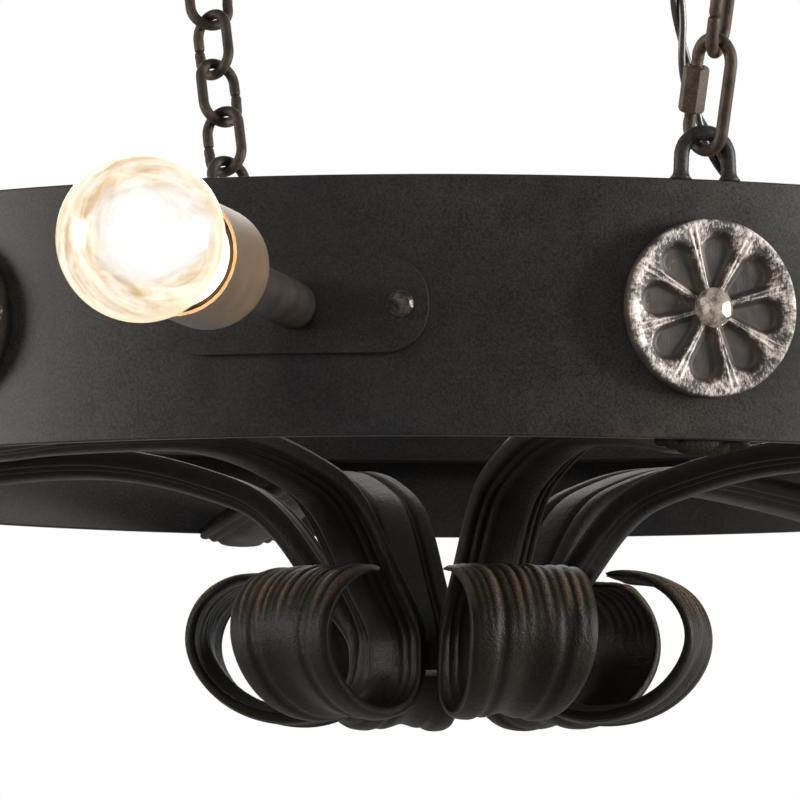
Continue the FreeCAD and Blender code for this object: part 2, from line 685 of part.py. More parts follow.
def globe_outline(inset):
    """The neck's curve and the globe's arc, inset from the outside of the glass."""
    mouth = bulb_end + size("cap_length")
    centre = bulb_end + size("bulb_centre")
    radius = size("bulb_radius") - inset
    neck = size("neck_radius") - inset
    join = (centre - radius * math.cos(GLOBE_JOIN), radius * math.sin(GLOBE_JOIN))
    half_way = ((mouth + join[0]) / 2, (neck + join[1]) / 2 - (join[1] - neck) * NECK_HOLLOW)
    top = centre + radius

    def point(place):
        return lamp_point(place[0]) + UP * place[1]

    neck_arc = Part.Arc(point((mouth, neck)), point(half_way), point(join)).toShape()
    globe_arc = Part.Arc(point(join), point((centre, radius)), point((top, 0))).toShape()
    return neck_arc, globe_arc, mouth, top


def bulb_glass():
    outer_neck, outer_globe, mouth, outer_top = globe_outline(0)
    inner_neck, inner_globe, mouth, inner_top = globe_outline(size("glass_wall"))
    rim = Part.makeLine(lamp_point(mouth) + UP * (size("neck_radius") - size("glass_wall")),
                        lamp_point(mouth) + UP * size("neck_radius"))
    tip = Part.makeLine(lamp_point(inner_top), lamp_point(outer_top))
    wire = Part.Wire(Part.__sortEdges__([outer_neck, outer_globe, tip, inner_globe, inner_neck, rim]))
    return Part.Face(wire).revolve(lamp_point(0), OUT, 360)


def bulb_stem():
    """The glass stem on its flare, with the cage of filament strands."""
    mouth = "bulb_end + cap_length"
    flare = "neck_radius - 2 * glass_wall"
    tip = mouth + " + stem_length"
    stem = turned_shape("stem", [("0", mouth), (flare, mouth), (flare, mouth + " + glass_wall"),
                                 ("stem_rod", mouth + " + flare_length"), ("stem_rod", tip),
                                 ("0", tip + " + stem_rod")], lamp_frame)
    rod = size("stem_rod")
    strands = []
    far = bulb_end + size("cap_length") + size("stem_length") + rod
    near = far - size("filament_length")
    for number in range(int(size("filament_count"))):
        angle = 2 * math.pi * number / size("filament_count")
        ray = SIDE * math.cos(angle) + UP * math.sin(angle)
        start = lamp_point(near) + ray * (rod - size("filament_rod"))
        end = lamp_point(far + rod) + ray * size("filament_spread")
        strands.append(solid_along(size("filament_rod"), start, (end - start).Length, end - start))
    return stem.fuse(strands)


glass = bulb_glass()
cap = bulb_cap()
stem = bulb_stem()
for number, place in enumerate(lamp_places, start=1):
    keep("bulb_glass_%d" % number, glass, place)
    keep("bulb_cap_%d" % number, cap, place)
    keep("bulb_stem_%d" % number, stem, place)


# ---- chains and quick links ----------------------------------------------------------------
# A chain is drawn hanging straight down from the hook's seat at the origin, its links turned
# about it, and then leaned and moved to its hook. The turns are from the tangent of the wheel.
TURNS_FRONT = [0, 75, 10, -60, 55, -65]       # links from the hook down, then the quick link
TURNS_REST = [0, -62, 16, -54, 16, -65]


def chain_place(azimuth):
    """Chain space to the row: lean outwards going up, stand at the hook's seat, go round."""
    tilt = Rotation(SIDE, size("chain_lean"))
    seat = Placement(Vector(0, -seat_radius, seat_height), tilt)
    return Placement(Vector(), Rotation(UP, azimuth)).multiply(seat)


def oval(rod, spread, reach, top, gap=None):
    """A round-ended link hanging below top, across SIDE; gap opens its left bar."""
    bend = spread / 2
    high = Vector(0, 0, top - bend)
    low = Vector(0, 0, top - reach + bend)
    crown = Part.Arc(high + SIDE * bend, high + UP * bend, high - SIDE * bend).toShape()
    foot = Part.Arc(low - SIDE * bend, low - UP * bend, low + SIDE * bend).toShape()
    bar = Part.makeLine(low + SIDE * bend, high + SIDE * bend)
    if gap is None:
        start = low + SIDE * bend
        edges = [bar, crown, Part.makeLine(high - SIDE * bend, low - SIDE * bend), foot]
    else:
        start = Vector(-bend, 0, gap[0])
        end = Vector(-bend, 0, gap[1])
        edges = [Part.makeLine(start, low - SIDE * bend), foot, bar, crown,
                 Part.makeLine(high - SIDE * bend, end)]
    section = Part.Wire(Part.makeCircle(rod, start, UP))
    return Part.Wire(edges).makePipeShell([section], True, True)


def turned(shape, degrees):
    """A link turned about the chain's own line."""
    copy = shape.copy()
    copy.rotate(Vector(), UP, degrees)
    return copy


quick_middle = quick_top - size("quick_reach") / 2
nut_low = quick_middle - size("nut_length") / 2
gap_low = nut_low + size("nut_cover")


def quick_link():
    gap = (gap_low, gap_low + size("quick_gap"))
    return oval(size("quick_rod"), size("quick_spread"), size("quick_reach"), quick_top, gap)


def quick_nut():
    bar = Vector(-size("quick_spread") / 2, 0, nut_low)
    edge = size("nut_edge")
    corner = size("nut_flats") / 2 / math.cos(math.pi / HEX)
    nut = prism(HEX, size("nut_flats"), bar, size("nut_length"), UP)
    profile = [Vector(0, 0, 0), Vector(corner - edge, 0, 0), Vector(corner, 0, edge),
               Vector(corner, 0, size("nut_length") - edge),
               Vector(corner - edge, 0, size("nut_length")), Vector(0, 0, size("nut_length"))]
    turned_blank = Part.Face(Part.makePolygon(profile + profile[:1])).revolve(Vector(), UP, 360)
    turned_blank.translate(bar)
    nut = nut.common(turned_blank)
    return nut.cut(solid_along(size("quick_rod") + size("nut_play"), bar, size("nut_length"), UP))


quick = quick_link()
nut = quick_nut()
for number, azimuth in enumerate(spoke_azimuths(), start=1):
    place = chain_place(azimuth)
    turns = TURNS_FRONT if number == 1 else TURNS_REST
    links = []
    for index in range(link_count):
        top = top_bow - index * link_step
        link = oval(size("link_rod"), size("link_spread"), size("link_reach"), top)
        links.append(turned(link, turns[index]))
    keep("chain_%d" % number, Part.makeCompound(links), place)
    keep("quick_link_%d" % number, turned(quick, turns[-1]), place)
    keep("quick_nut_%d" % number, turned(nut, turns[-1]), place)


# ---- ceiling fittings ----------------------------------------------------------------------
# Drawn at the hook's seat: the hook's bend lies along the radius, its shank on the outer side.
def hook_centre():
    """The bend's centre: the leaning chain pulls square on the bend."""
    return (OUT * math.sin(lean) + UP * math.cos(lean)) * size("hook_radius")


def hook_shape():
    rod = size("hook_rod")
    bend = size("hook_radius")
    centre = hook_centre()
    shank_top = -seat_height - size("ceiling_plate_thick") / 2
    shank = solid_along(rod, centre + OUT * bend, shank_top - centre.z, UP)
    curl = bent_rod(rod, bend, centre, OUT, SIDE, size("hook_sweep"))
    return shank.fuse(curl).removeSplitter()


def ceiling_plate():
    """A screwed disc with a boss under it that the hook's shank is set in."""
    low = -seat_height - size("ceiling_boss_tall") - size("ceiling_plate_thick")
    centre = OUT * (-hook_centre().y + size("hook_radius")) + UP * low
    hole = "hook_rod + fit_gap"
    top = "ceiling_boss_tall + ceiling_plate_thick"
    plate = turned_shape("ceiling_plate", [
        (hole, "0"), ("ceiling_boss_radius", "0"), ("ceiling_boss_radius", "ceiling_boss_tall"),
        ("ceiling_plate_radius", "ceiling_boss_tall"), ("ceiling_plate_radius", top), (hole, top)],
        Placement(centre, Rotation()))
    screws = int(size("screw_count"))
    for number in range(screws):
        angle = 2 * math.pi * (number + 0.5) / screws
        ray = SIDE * math.cos(angle) + OUT * math.sin(angle)
        plate = plate.cut(solid_along(size("screw_hole"), centre + ray * size("screw_circle"),
                                      size("ceiling_boss_tall") + size("ceiling_plate_thick"), UP))
    return plate


def hook_place(azimuth):
    seat = Placement(Vector(0, -seat_radius, seat_height), Rotation())
    return Placement(Vector(), Rotation(UP, azimuth)).multiply(seat)


hook_places = [hook_place(azimuth) for azimuth in spoke_azimuths()]
group("ceiling_hooks", hook_shape(), hook_places)
group("ceiling_plates", ceiling_plate(), hook_places)


# ---- supply cord ---------------------------------------------------------------------------
# It leaves its ceiling bushing beside chain 1, follows the chain's inner side and drops
# through the grommet into the raceway. Points: along the band from chain 1, out from the
# band's inner face, height above the band's lower edge.
CORD_CEILING = (-22, 21)
CORD_ROUTE = [(-22, 18, 258), (-17, 5, 214), (-7, -9, 172), (0, -16, 139),
              (10, -15, 115), (22, -12, 95), (26.8, -11, 80)]


def cord_points():
    top = cord_point(CORD_CEILING[0], CORD_CEILING[1], -wheel_height - size("canopy_thick") / 2)
    middle = [cord_point(side, out, height) for side, out, height in CORD_ROUTE]
    return [top] + middle + [cord_entry(size("raceway_high") - 2 * size("raceway_wall"))]


def cord_path(points):
    """Straight runs joined by tangent arcs, each as large as its two runs allow."""
    edges = []
    start = points[0]
    for before, corner, after in zip(points, points[1:], points[2:]):
        arriving = corner - before
        leaving = after - corner
        turn = arriving.getAngle(leaving)
        setback = 0.45 * min(arriving.Length, leaving.Length)
        radius = setback / math.tan(turn / 2)
        into = Vector(arriving).normalize()
        away = Vector(leaving).normalize()
        first = corner - into * setback
        last = corner + away * setback
        inwards = Vector(away - into).normalize()
        middle = corner + inwards * (radius / math.cos(turn / 2) - radius)
        print("cord arc: radius %.1f, turn %.1f degrees" % (radius, math.degrees(turn)))
        edges.append(Part.LineSegment(start, first).toShape())
        edges.append(Part.Arc(first, middle, last).toShape())
        start = last
    edges.append(Part.LineSegment(start, points[-1]).toShape())
    return Part.Wire(edges)


def supply_cord():
    points = cord_points()
    path = cord_path(points)
    direction = points[1] - points[0]
    section = Part.Wire(Part.makeCircle(size("cord_radius"), points[0], direction))
    cord = path.makePipeShell([section], True, True)
    area = math.pi * size("cord_radius") ** 2
    print("cord: length %.1f, volume %.1f, section times length %.1f"
          % (path.Length, cord.Volume, area * path.Length))
    keep("supply_cord", cord, wheel_place)


def cord_canopy():
    low = cord_point(CORD_CEILING[0], CORD_CEILING[1], -size("canopy_thick"))
    keep("cord_canopy", turned_shape("canopy", [
        ("grommet_bore", "0"), ("canopy_radius / 2", "0"), ("canopy_radius", "canopy_thick / 2"),
        ("canopy_radius", "canopy_thick"), ("grommet_bore", "canopy_thick")],
        Placement(low, Rotation())))


supply_cord()
cord_canopy()

# ---- check and write -----------------------------------------------------------------------
doc.recompute()
for piece in doc.Objects:
    for state in piece.State:
        if state in ("Invalid", "Error"):
            raise RuntimeError("%s is %s" % (piece.Label, state))
for piece in parts:
    if piece.Shape.isNull() or not piece.Shape.isValid():
        raise RuntimeError("%s has no valid shape" % piece.Label)
os.makedirs("parts", exist_ok=True)
for piece in parts:
    piece.Shape.exportStep("parts/%s.step" % piece.Label)
print("%d sub-parts" % len(parts))
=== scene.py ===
import math
import random

import bpy
import numpy as np
from mathutils import Matrix, Vector


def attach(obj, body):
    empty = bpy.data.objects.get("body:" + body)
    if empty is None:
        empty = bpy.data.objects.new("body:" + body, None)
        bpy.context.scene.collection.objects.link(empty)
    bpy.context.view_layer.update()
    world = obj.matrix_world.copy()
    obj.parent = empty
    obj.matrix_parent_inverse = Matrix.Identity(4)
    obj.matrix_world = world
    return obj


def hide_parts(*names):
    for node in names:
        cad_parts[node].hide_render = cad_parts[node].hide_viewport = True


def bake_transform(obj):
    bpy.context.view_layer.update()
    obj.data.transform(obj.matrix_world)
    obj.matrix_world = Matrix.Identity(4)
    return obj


# A wagon wheel chandelier, in metres, in the part's own frame: +Z is up, the wheel's axis is Z
# and the origin lies on it in the plane of the ceiling. A place round the wheel is an azimuth:
# 0 points along -Y, and it grows towards +X.
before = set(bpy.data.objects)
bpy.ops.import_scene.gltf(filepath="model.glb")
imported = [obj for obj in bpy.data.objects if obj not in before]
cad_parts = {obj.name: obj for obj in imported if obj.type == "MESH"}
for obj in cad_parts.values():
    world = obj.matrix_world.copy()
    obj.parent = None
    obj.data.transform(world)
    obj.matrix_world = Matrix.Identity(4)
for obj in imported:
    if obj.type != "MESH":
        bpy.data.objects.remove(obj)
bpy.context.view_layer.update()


# ---- camera ----
# It stands nearly three metres from the wheel's axis and a hand below the rim band, and looks
# slightly up through a long lens.
CAMERA_AZIMUTH = math.radians(-19.14)
CAMERA_REACH = 2.9334
CAMERA_HEIGHT = -0.5189
CAMERA_YAW = -0.0073
CAMERA_PITCH = 0.0849
CAMERA_ROLL = 0.0032
CAMERA_LENS = 307.8
UP = Vector((0, 0, 1))


def outwards(azimuth):
    return Vector((math.sin(azimuth), -math.cos(azimuth), 0))


def turned_pair(first, second, angle):
    """Two directions turned in their own plane, the first towards the second."""
    return (first * math.cos(angle) + second * math.sin(angle),
            second * math.cos(angle) - first * math.sin(angle))


def put(name, data):
    """A new object in the scene."""
    made = bpy.data.objects.new(name, data)
    bpy.context.scene.collection.objects.link(made)
    return made


ahead = -outwards(CAMERA_AZIMUTH)
rightwards, ahead = turned_pair(ahead.cross(UP), ahead, -CAMERA_YAW)
ahead, upwards = turned_pair(ahead, UP, CAMERA_PITCH)
rightwards, upwards = turned_pair(rightwards, upwards, CAMERA_ROLL)
camera = put("camera", bpy.data.cameras.new("camera"))
camera.data.lens = CAMERA_LENS
camera.data.sensor_width = 36.0
camera.matrix_world = Matrix((rightwards, upwards, -ahead)).transposed().to_4x4()
camera.location = outwards(CAMERA_AZIMUTH) * CAMERA_REACH + UP * CAMERA_HEIGHT
bpy.context.scene.camera = camera
bpy.context.scene.view_settings.view_transform = "Standard"


# ---- supply cord ----
# A black twin lead with a glossy plastic jacket. It hangs from a bushing in the ceiling beside
# the near chain, follows the chain's inner side and drops through a grommet into the raceway.
MM = 0.001
WHEEL = -0.308834            # the rim band's lower edge
BAND_IN = 0.300              # the rim band's inner face
CORD_RADIUS = 0.003
CORD_STRAND = 0.00150
CORD_TWIST = 105.0           # turn of the twin lead along its length, in radians a metre
# side along the band, distance out from the band's inner face, height over the lower edge, in mm
CORD_ROUTE = [(-22, 21, 306.334), (-22, 18, 258), (-17, 5, 214), (-7, -9, 172), (0, -16, 139),
              (10, -15, 115), (22, -12, 95), (26.8, -11, 80), (27, -11, 64)]


class Tone:
    """A shader socket in a Python expression: sums and products of tones add Math nodes."""

    def __init__(self, tree, socket=None):
        self.tree = tree
        self.socket = socket

    def node(self, kind, settings=None, sockets=None, out=0):
        """A new node: first its settings, then the values or links of its sockets."""
        made = self.tree.nodes.new("ShaderNode" + kind)
        for name, value in (settings or {}).items():
            setattr(made, name, value)
        for name, value in (sockets or {}).items():
            if isinstance(value, Tone):
                self.tree.links.new(made.inputs[name], value.socket)
            else:
                made.inputs[name].default_value = value
        return Tone(self.tree, made.outputs[out] if len(made.outputs) else None)

    def other(self, name):
        """Another output of the node that this tone comes from."""
        return Tone(self.tree, self.socket.node.outputs[name])

    def math(self, operation, first, second=0.0):
        return self.node("Math", {"operation": operation}, {0: first, 1: second})

    def __add__(self, other):
        return self.math("ADD", self, other)

    __radd__ = __add__

    def __sub__(self, other):
        return self.math("SUBTRACT", self, other)

    def __rsub__(self, other):
        return self.math("SUBTRACT", other, self)

    def __mul__(self, other):
        return self.math("MULTIPLY", self, other)

    __rmul__ = __mul__

    def __pow__(self, power):
        return self.math("POWER", self, power)

    def __truediv__(self, other):
        return self.math("DIVIDE", self, other)

    def __rtruediv__(self, other):
        return self.math("DIVIDE", other, self)

    def between(self, low, high):
        """0 below low, 1 above high and an even ramp from one to the other."""
        return self.node("MapRange", {"clamp": True},
                         {"Value": self, "From Min": low, "From Max": high})

    def colours(self, low, high):
        """A colour that goes from low to high as the tone goes from 0 to 1."""
        return self.node("Mix", {"data_type": "RGBA"}, {0: self, 6: low, 7: high}, 2)

    def noise(self, scale, detail=2.0, rough=0.5, warp=0.0):
        """Noise over the piece; scale is in grains a metre."""
        return self.node("TexNoise", {}, {"Vector": self, "Scale": scale, "Detail": detail,
                                          "Roughness": rough, "Distortion": warp})

    def stretched(self, factors):
        return self.node("Mapping", {}, {"Vector": self, "Scale": factors})


def rgb(red, green, blue):
    return (red, green, blue, 1.0)


def new_finish(name):
    """An empty material, and the place on the piece to work its tones from."""
    material = bpy.data.materials.new(name)
    material.use_nodes = True
    material.node_tree.nodes.clear()
    return material, Tone(material.node_tree).node("TexCoord", out="Object")


def lay_finish(material, place, sockets, relief=None, depth=0.0):
    """The finished shader; relief is a tone whose full range stands depth metres high."""
    if relief is not None:
        sockets["Normal"] = place.node("Bump", {}, {"Height": relief, "Distance": depth,
                                                    "Strength": 1.0})
    place.node("OutputMaterial", {}, {"Surface": place.node("BsdfPrincipled", {}, sockets)})
    return material


def mesh_of(name, points, faces, marks=None, smooth=True):
    """A mesh in metres; marks are named values, one for each point."""
    mesh = bpy.data.meshes.new(name)
    mesh.from_pydata([tuple(point) for point in points], [], [tuple(face) for face in faces])
    for mark, values in (marks or {}).items():
        data = mesh.attributes.new(mark, "FLOAT", "POINT").data
        data.foreach_set("value", np.array(values, np.float32))
    mesh.polygons.foreach_set("use_smooth", [smooth] * len(mesh.polygons))
    mesh.validate()
    mesh.update()
    return mesh


def show(name, mesh, body, material, nodes, place=Matrix()):
    """A shown piece: in its place, on its body, in its finish, standing for its CAD nodes."""
    piece = put(name, mesh)
    piece.matrix_world = place
    if not mesh.materials:
        mesh.materials.append(material)
    if body:
        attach(piece, body)
    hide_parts(*nodes)
    return piece


def skin(rings, ends="capped"):
    """Points and faces of a skin over rings of points; its ends are capped, open or joined."""
    rings = np.asarray(rings, float)
    count, around = rings.shape[:2]
    faces = []
    for ring in range(count if ends == "joined" else count - 1):
        this, following = ring * around, (ring + 1) % count * around
        for step in range(around):
            after = (step + 1) % around
            faces.append((this + step, this + after, following + after, following + step))
    if ends == "capped":
        faces.append(tuple(range(around))[::-1])
        faces.append(tuple((count - 1) * around + step for step in range(around)))
    return rings.reshape(-1, 3), faces


def merged(parts):
    """Several (points, faces) as one."""
    points, faces, start = [], [], 0
    for some_points, some_faces in parts:
        points.append(np.asarray(some_points, float))
        faces += [tuple(start + index for index in face) for face in some_faces]
        start += len(some_points)
    return np.concatenate(points), faces


def travelled(line):
    """How far along a line each of its points is."""
    return np.concatenate([[0], np.cumsum(np.linalg.norm(np.diff(line, axis=0), axis=1))])


def circle(count):
    return np.linspace(0, 2 * math.pi, count, endpoint=False)


def frames_along(line):
    """Two directions square to a line, which turn no more than the line does."""
    line = np.asarray(line, float)
    tangents = np.gradient(line, axis=0)
    tangents /= np.linalg.norm(tangents, axis=1)[:, None]
    first = np.cross(tangents[0], (1.0, 0.2, 0.1))
    firsts = []
    for tangent in tangents:
        first = first - tangent * (first @ tangent)
        first /= np.linalg.norm(first)
        firsts.append(first)
    firsts = np.array(firsts)
    return firsts, np.cross(tangents, firsts)


def rod(line, radii, around=20):
    """A round bar along a line; radii is one radius, or one for each point."""
    line = np.asarray(line, float)
    radii = np.broadcast_to(radii, len(line))
    firsts, seconds = frames_along(line)
    angles = circle(around)[:, None]
    return skin([centre + radius * (np.cos(angles) * first + np.sin(angles) * second)
                 for centre, radius, first, second in zip(line, radii, firsts, seconds)])


def cord_finish():
    material, place = new_finish("black_cord_jacket")
    scuff = place.noise(900.0, 3.0)
    return lay_finish(material, place, {
        "Base Color": scuff.colours(rgb(0.008, 0.008, 0.009), rgb(0.017, 0.016, 0.017)),
        "Roughness": 0.24 + 0.16 * scuff,
        "Specular IOR Level": 0.30,
    }, relief=place.noise(2200.0), depth=0.03 * MM)


guide = bpy.data.curves.new("cord_guide", "CURVE")
guide.dimensions = "3D"
guide.resolution_u = 10
spline = guide.splines.new("NURBS")
spline.points.add(len(CORD_ROUTE) - 1)
for point, (side, out, height) in zip(spline.points, CORD_ROUTE):
    point.co = (side * MM, -BAND_IN - out * MM, WHEEL + height * MM, 1.0)
spline.order_u = 3
spline.use_endpoint_u = True
guide_object = bpy.data.objects.new("cord_guide", guide)
guide_mesh = bpy.data.meshes.new_from_object(guide_object)
cord_line = np.array([vertex.co for vertex in guide_mesh.vertices])
bpy.data.objects.remove(guide_object)
turn = (CORD_TWIST * travelled(cord_line))[:, None]
cord_firsts, cord_seconds = frames_along(cord_line)
apart = (CORD_RADIUS - CORD_STRAND) * (np.cos(turn) * cord_firsts + np.sin(turn) * cord_seconds)
strands = [rod(cord_line + side * apart, CORD_STRAND, 16) for side in (-1, 1)]
cord = show("supply_cord_twin", mesh_of("supply_cord_twin", *merged(strands)), None, cord_finish(),
            ["supply_cord"])
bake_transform(cord)


# ---- rim band and the black fittings on it ----
# A steel strip rolled to a hoop, with the raceway and locknuts behind it, the lamp plates riveted
# on it and the plates and cord bushing screwed to the ceiling. All are powder coated satin black,
# with a fine orange peel, faint brown mottling and a few pale specks.
def powder_coat():
    material, place = new_finish("satin_black_powder_coat")
    peel = place.noise(1050.0, 2.0, 0.6)
    mottle = place.noise(14.0, 3.0)
    cloud = place.noise(90.0, 3.0)
    speck = place.noise(1300.0, 1.0).between(0.80, 0.83)
    tint = mottle.between(0.35, 0.7).colours(rgb(0.0070, 0.0071, 0.0080),
                                             rgb(0.0108, 0.0095, 0.0087))
    grain = (0.75 * peel + 0.25 * cloud).between(0.36, 0.64).colours(rgb(0.25, 0.25, 0.25),
                                                                     rgb(1.75, 1.73, 1.70))
    tinted = grain.node("Mix", {"data_type": "RGBA", "blend_type": "MULTIPLY"},
                        {0: 1.0, 6: tint, 7: grain}, 2)
    return lay_finish(material, place, {
        "Base Color": speck.colours(tinted, rgb(0.060, 0.045, 0.028)),
        "Roughness": 0.46 + 0.14 * cloud,
        "Specular IOR Level": 0.12,
    }, relief=peel, depth=0.06 * MM)


def dress(names, material):
    """A better finish on CAD nodes whose shape stays."""
    for name in names:
        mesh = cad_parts[name].data
        mesh.materials.clear()
        mesh.materials.append(material)


powder = powder_coat()
dress(["rim_band", "wire_raceway", "lamp_plates", "arm_locknuts", "ceiling_plates",
       "cord_canopy"], powder)


# ---- spokes ----
# Each is one moulded steel strap, patinated dark bronze. It arches in from the band, drops beside
# the hub core at the axis and curls out into a scroll. The smith has drawn the scroll thin and
# wide, so that the moulding opens into ribs.
BAYS = range(1, 7)           # each bay has a spoke, a chain, a rosette and a lamp
# the strap's middle line in mm: distance from the axis, height over the band's lower edge
SPOKE_ARCH = [(301.0, -1.8), (255.0, 6.0), (204.0, 11.3), (155.0, 13.4), (121.9, 8.6),
              (101.1, 2.4), (84.0, -5.0), (70.9, -17.0), (60.1, -32.0), (49.0, -47.0),
              (40.9, -58.0), (38.0, -66.0), (38.0, -72.0), (38.0, -78.0)]
SCROLL = [(43.0, -89.5), (54.0, -96.3), (70.0, -98.0), (87.0, -93.5), (102.0, -81.5),
          (108.5, -66.0), (103.5, -49.0), (89.0, -39.0), (72.0, -37.5)]
SPOKE_RINGS = 190
SPOKE_ACROSS = 72
STRAP_WIDTH, FOOT_FLARE, TIP_FLARE = 33.0, 7.0, 27.0
STRAP_THICK, FORGED_OFF = 13.0, 7.5
# places along the strap, as shares of its length
FOOT_SHARE = 0.125
FORGE_START = 0.60
FORGE_THIN = 0.74
TIP_START = 0.93
RIB_START = 0.865
RIBS = 13
RIB_TALL, INNER_RIB_TALL = 1.15, 0.8
# the section's two faces as (share of half the width, share of half the thickness)
CROWN_SIDE = [(0.0, 1.0), (0.16, 0.985), (0.32, 0.93), (0.44, 0.82), (0.51, 0.66), (0.55, 0.48),
              (0.58, 0.42), (0.62, 0.50), (0.68, 0.50), (0.73, 0.40), (0.76, 0.24), (0.79, 0.17),
              (0.83, 0.23), (0.90, 0.24), (0.96, 0.16), (1.0, -0.05)]
BACK_SIDE = [(0.0, 1.0), (0.20, 0.99), (0.36, 0.94), (0.42, 0.80), (0.47, 0.58), (0.52, 0.54),
             (0.57, 0.62), (0.61, 0.86), (0.68, 0.98), (0.80, 1.0), (0.92, 0.95), (1.0, 0.72)]


def bay_angle(bay, more=0.0):
    return (bay - 1) * math.pi / 3 + more


def bay_place(bay, more=0.0):
    return Matrix.Rotation(bay_angle(bay, more), 4, "Z")


def eased(share):
    share = np.clip(share, 0.0, 1.0)
    return share * share * (3 - 2 * share)


def smooth_line(points, count):
    """Evenly spaced points on the cubic spline through the given ones."""
    points = np.array(points, float)
    knots = travelled(points)
    gaps = np.diff(knots)
    size = len(points)
    system = np.eye(size)
    right = np.zeros_like(points)
    for index in range(1, size - 1):
        before, after = gaps[index - 1], gaps[index]
        system[index, index - 1:index + 2] = before / 6, (before + after) / 3, after / 6
        right[index] = ((points[index + 1] - points[index]) / after
                        - (points[index] - points[index - 1]) / before)
    bends = np.linalg.solve(system, right)
    fine = np.linspace(0, knots[-1], 40 * size)
    at = np.clip(np.searchsorted(knots, fine, side="right") - 1, 0, size - 2)
    gap = gaps[at][:, None]
    high = (fine[:, None] - knots[at][:, None]) / gap
    low = 1 - high
    curve = (low * points[at] + high * points[at + 1]
             + ((low ** 3 - low) * bends[at] + (high ** 3 - high) * bends[at + 1]) * gap ** 2 / 6)
    run = travelled(curve)
    even = np.linspace(0, run[-1], count)
    return np.stack([np.interp(even, run, curve[:, axis]) for axis in range(points.shape[1])], 1)


def rib_heights(across, share, valleys, strengths, drift):
    """Height of the forged ribs, 0 in the valleys, at places across the strap."""
    moved = valleys + drift * math.sin(9.0 * share + 2.0)
    at = np.clip(np.searchsorted(moved, across, side="right") - 1, 0, len(moved) - 2)
    inside = np.clip((across - moved[at]) / (moved[at + 1] - moved[at]), 0, 1)
    return strengths[at] * np.sin(math.pi * inside) ** 0.75


def spoke_mesh(name, seed):
    """The strap's section swept down its line, in mm; seed sets its dents, ribs and ragged tip."""
    chance = random.Random(seed)
    line = smooth_line(SPOKE_ARCH + SCROLL, SPOKE_RINGS)
    along = np.gradient(line, axis=0)
    along /= np.linalg.norm(along, axis=1)[:, None]
    half = 1 - (1 - np.linspace(0, 1, SPOKE_ACROSS // 2)) ** 1.15
    across = np.concatenate([-half[::-1], half[1:]])
    steps = np.array([0.0] + [1 + 0.45 * chance.uniform(-1, 1) for _ in range(RIBS)])
    valleys = -1 + 2 * np.cumsum(steps) / steps.sum()
    strengths = np.array([chance.uniform(0.45, 1.0) for _ in range(RIBS)])
    inner_strengths = strengths[::-1] * 0.8
    drift = chance.uniform(0.01, 0.03)
    ragged = np.interp(across, np.linspace(-1, 1, RIBS),
                       [chance.uniform(-2.4, 1.2) for _ in range(RIBS)])
    corner = [chance.uniform(5, 10), chance.uniform(5, 10)]
    beside = np.clip((abs(across) - 0.72) / 0.28, 0, 1) ** 2
    ragged -= np.where(across < 0, corner[0], corner[1]) * beside
    wobble = [chance.uniform(0, 6.28) for _ in range(4)]
    groove_at = chance.uniform(-0.12, 0.12)
    crown = np.interp(abs(across), *zip(*CROWN_SIDE))
    back = np.interp(abs(across), *zip(*BACK_SIDE))
    rings, worn = [], []
    for index in range(SPOKE_RINGS):
        share = index / (SPOKE_RINGS - 1)
        foot = eased(1 - share / FOOT_SHARE)
        tail = eased((share - FORGE_START) / (1 - FORGE_START))
        thin = eased((share - FORGE_START) / (FORGE_THIN - FORGE_START))
        ribbed = eased((share - RIB_START) / 0.075)
        grooved = eased((share - 0.66) / 0.06) * (1 - eased((share - 0.84) / 0.08))
        tip = eased((share - TIP_START) / (1 - TIP_START))
        width = STRAP_WIDTH + FOOT_FLARE * foot + TIP_FLARE * tail
        width *= 1 + 0.018 * thin * math.sin(38 * share + wobble[0])
        thick = (STRAP_THICK - FORGED_OFF * thin) * (1 - 0.34 * eased(1 - share / 0.07))
        thick *= 1 - 0.35 * tip
        thick *= math.sqrt(1 - 0.9 * max(0.0, (share - 0.984) / 0.016) ** 2)
        flat = 0.72 * thin
        inner = (1 - flat) * crown + flat * 0.86
        outer = (1 - 0.62 * ribbed) * back + 0.62 * ribbed * 0.9
        edge_thin = 1 - 0.55 * ribbed * np.clip((abs(across) - 0.86) / 0.14, 0, 1) ** 2
        ribs_out = rib_heights(across, share, valleys, strengths, drift) * RIB_TALL * ribbed
        ribs_in = (rib_heights(across, share, valleys, inner_strengths, drift)
                   * INNER_RIB_TALL * ribbed)
        dents = (0.16 * np.sin(7.3 * across + 61 * share + wobble[1])
                 * np.sin(23 * share + wobble[2]))
        high = inner * thick / 2 * edge_thin + ribs_in - 0.35 * ribbed
        low = -outer * thick / 2 * edge_thin - ribs_out + 0.45 * ribbed
        high = np.maximum(high + dents * (0.3 + thin), low + 0.6)
        cup = thin * across ** 4 + 3.4 * grooved * np.exp(-((across - groove_at) / 0.36) ** 2)
        pull = ragged * tip
        radius, height = line[index]
        forward = np.array([0.0, -along[index][0], along[index][1]])
        centre = np.array([0.0, -radius, height])
        down = np.cross(forward, (1.0, 0.0, 0.0))
        sides = across * width / 2 * (1 + 0.012 * np.sin(47 * share + wobble[3]) * thin)

        middle = centre + sides[:, None] * np.array([1.0, 0, 0])
        lower, upper = (middle + (heights + cup)[:, None] * down + pull[:, None] * forward
                        for heights in (low, high))
        rings.append(np.concatenate([lower, upper[::-1]]))
        crest = np.clip(ribs_out / RIB_TALL, 0, 1)
        crest_in = np.clip(ribs_in / INNER_RIB_TALL, 0, 1)
        worn.append(np.concatenate([crest, crest_in[::-1]]))
    points, faces = skin(np.array(rings) * MM)
    points = points + np.array([0, 0, WHEEL])
    points[:, 1] = np.maximum(points[:, 1], -BAND_IN + 0.0002)
    return mesh_of(name, points, faces, {"crest": np.concatenate(worn)})


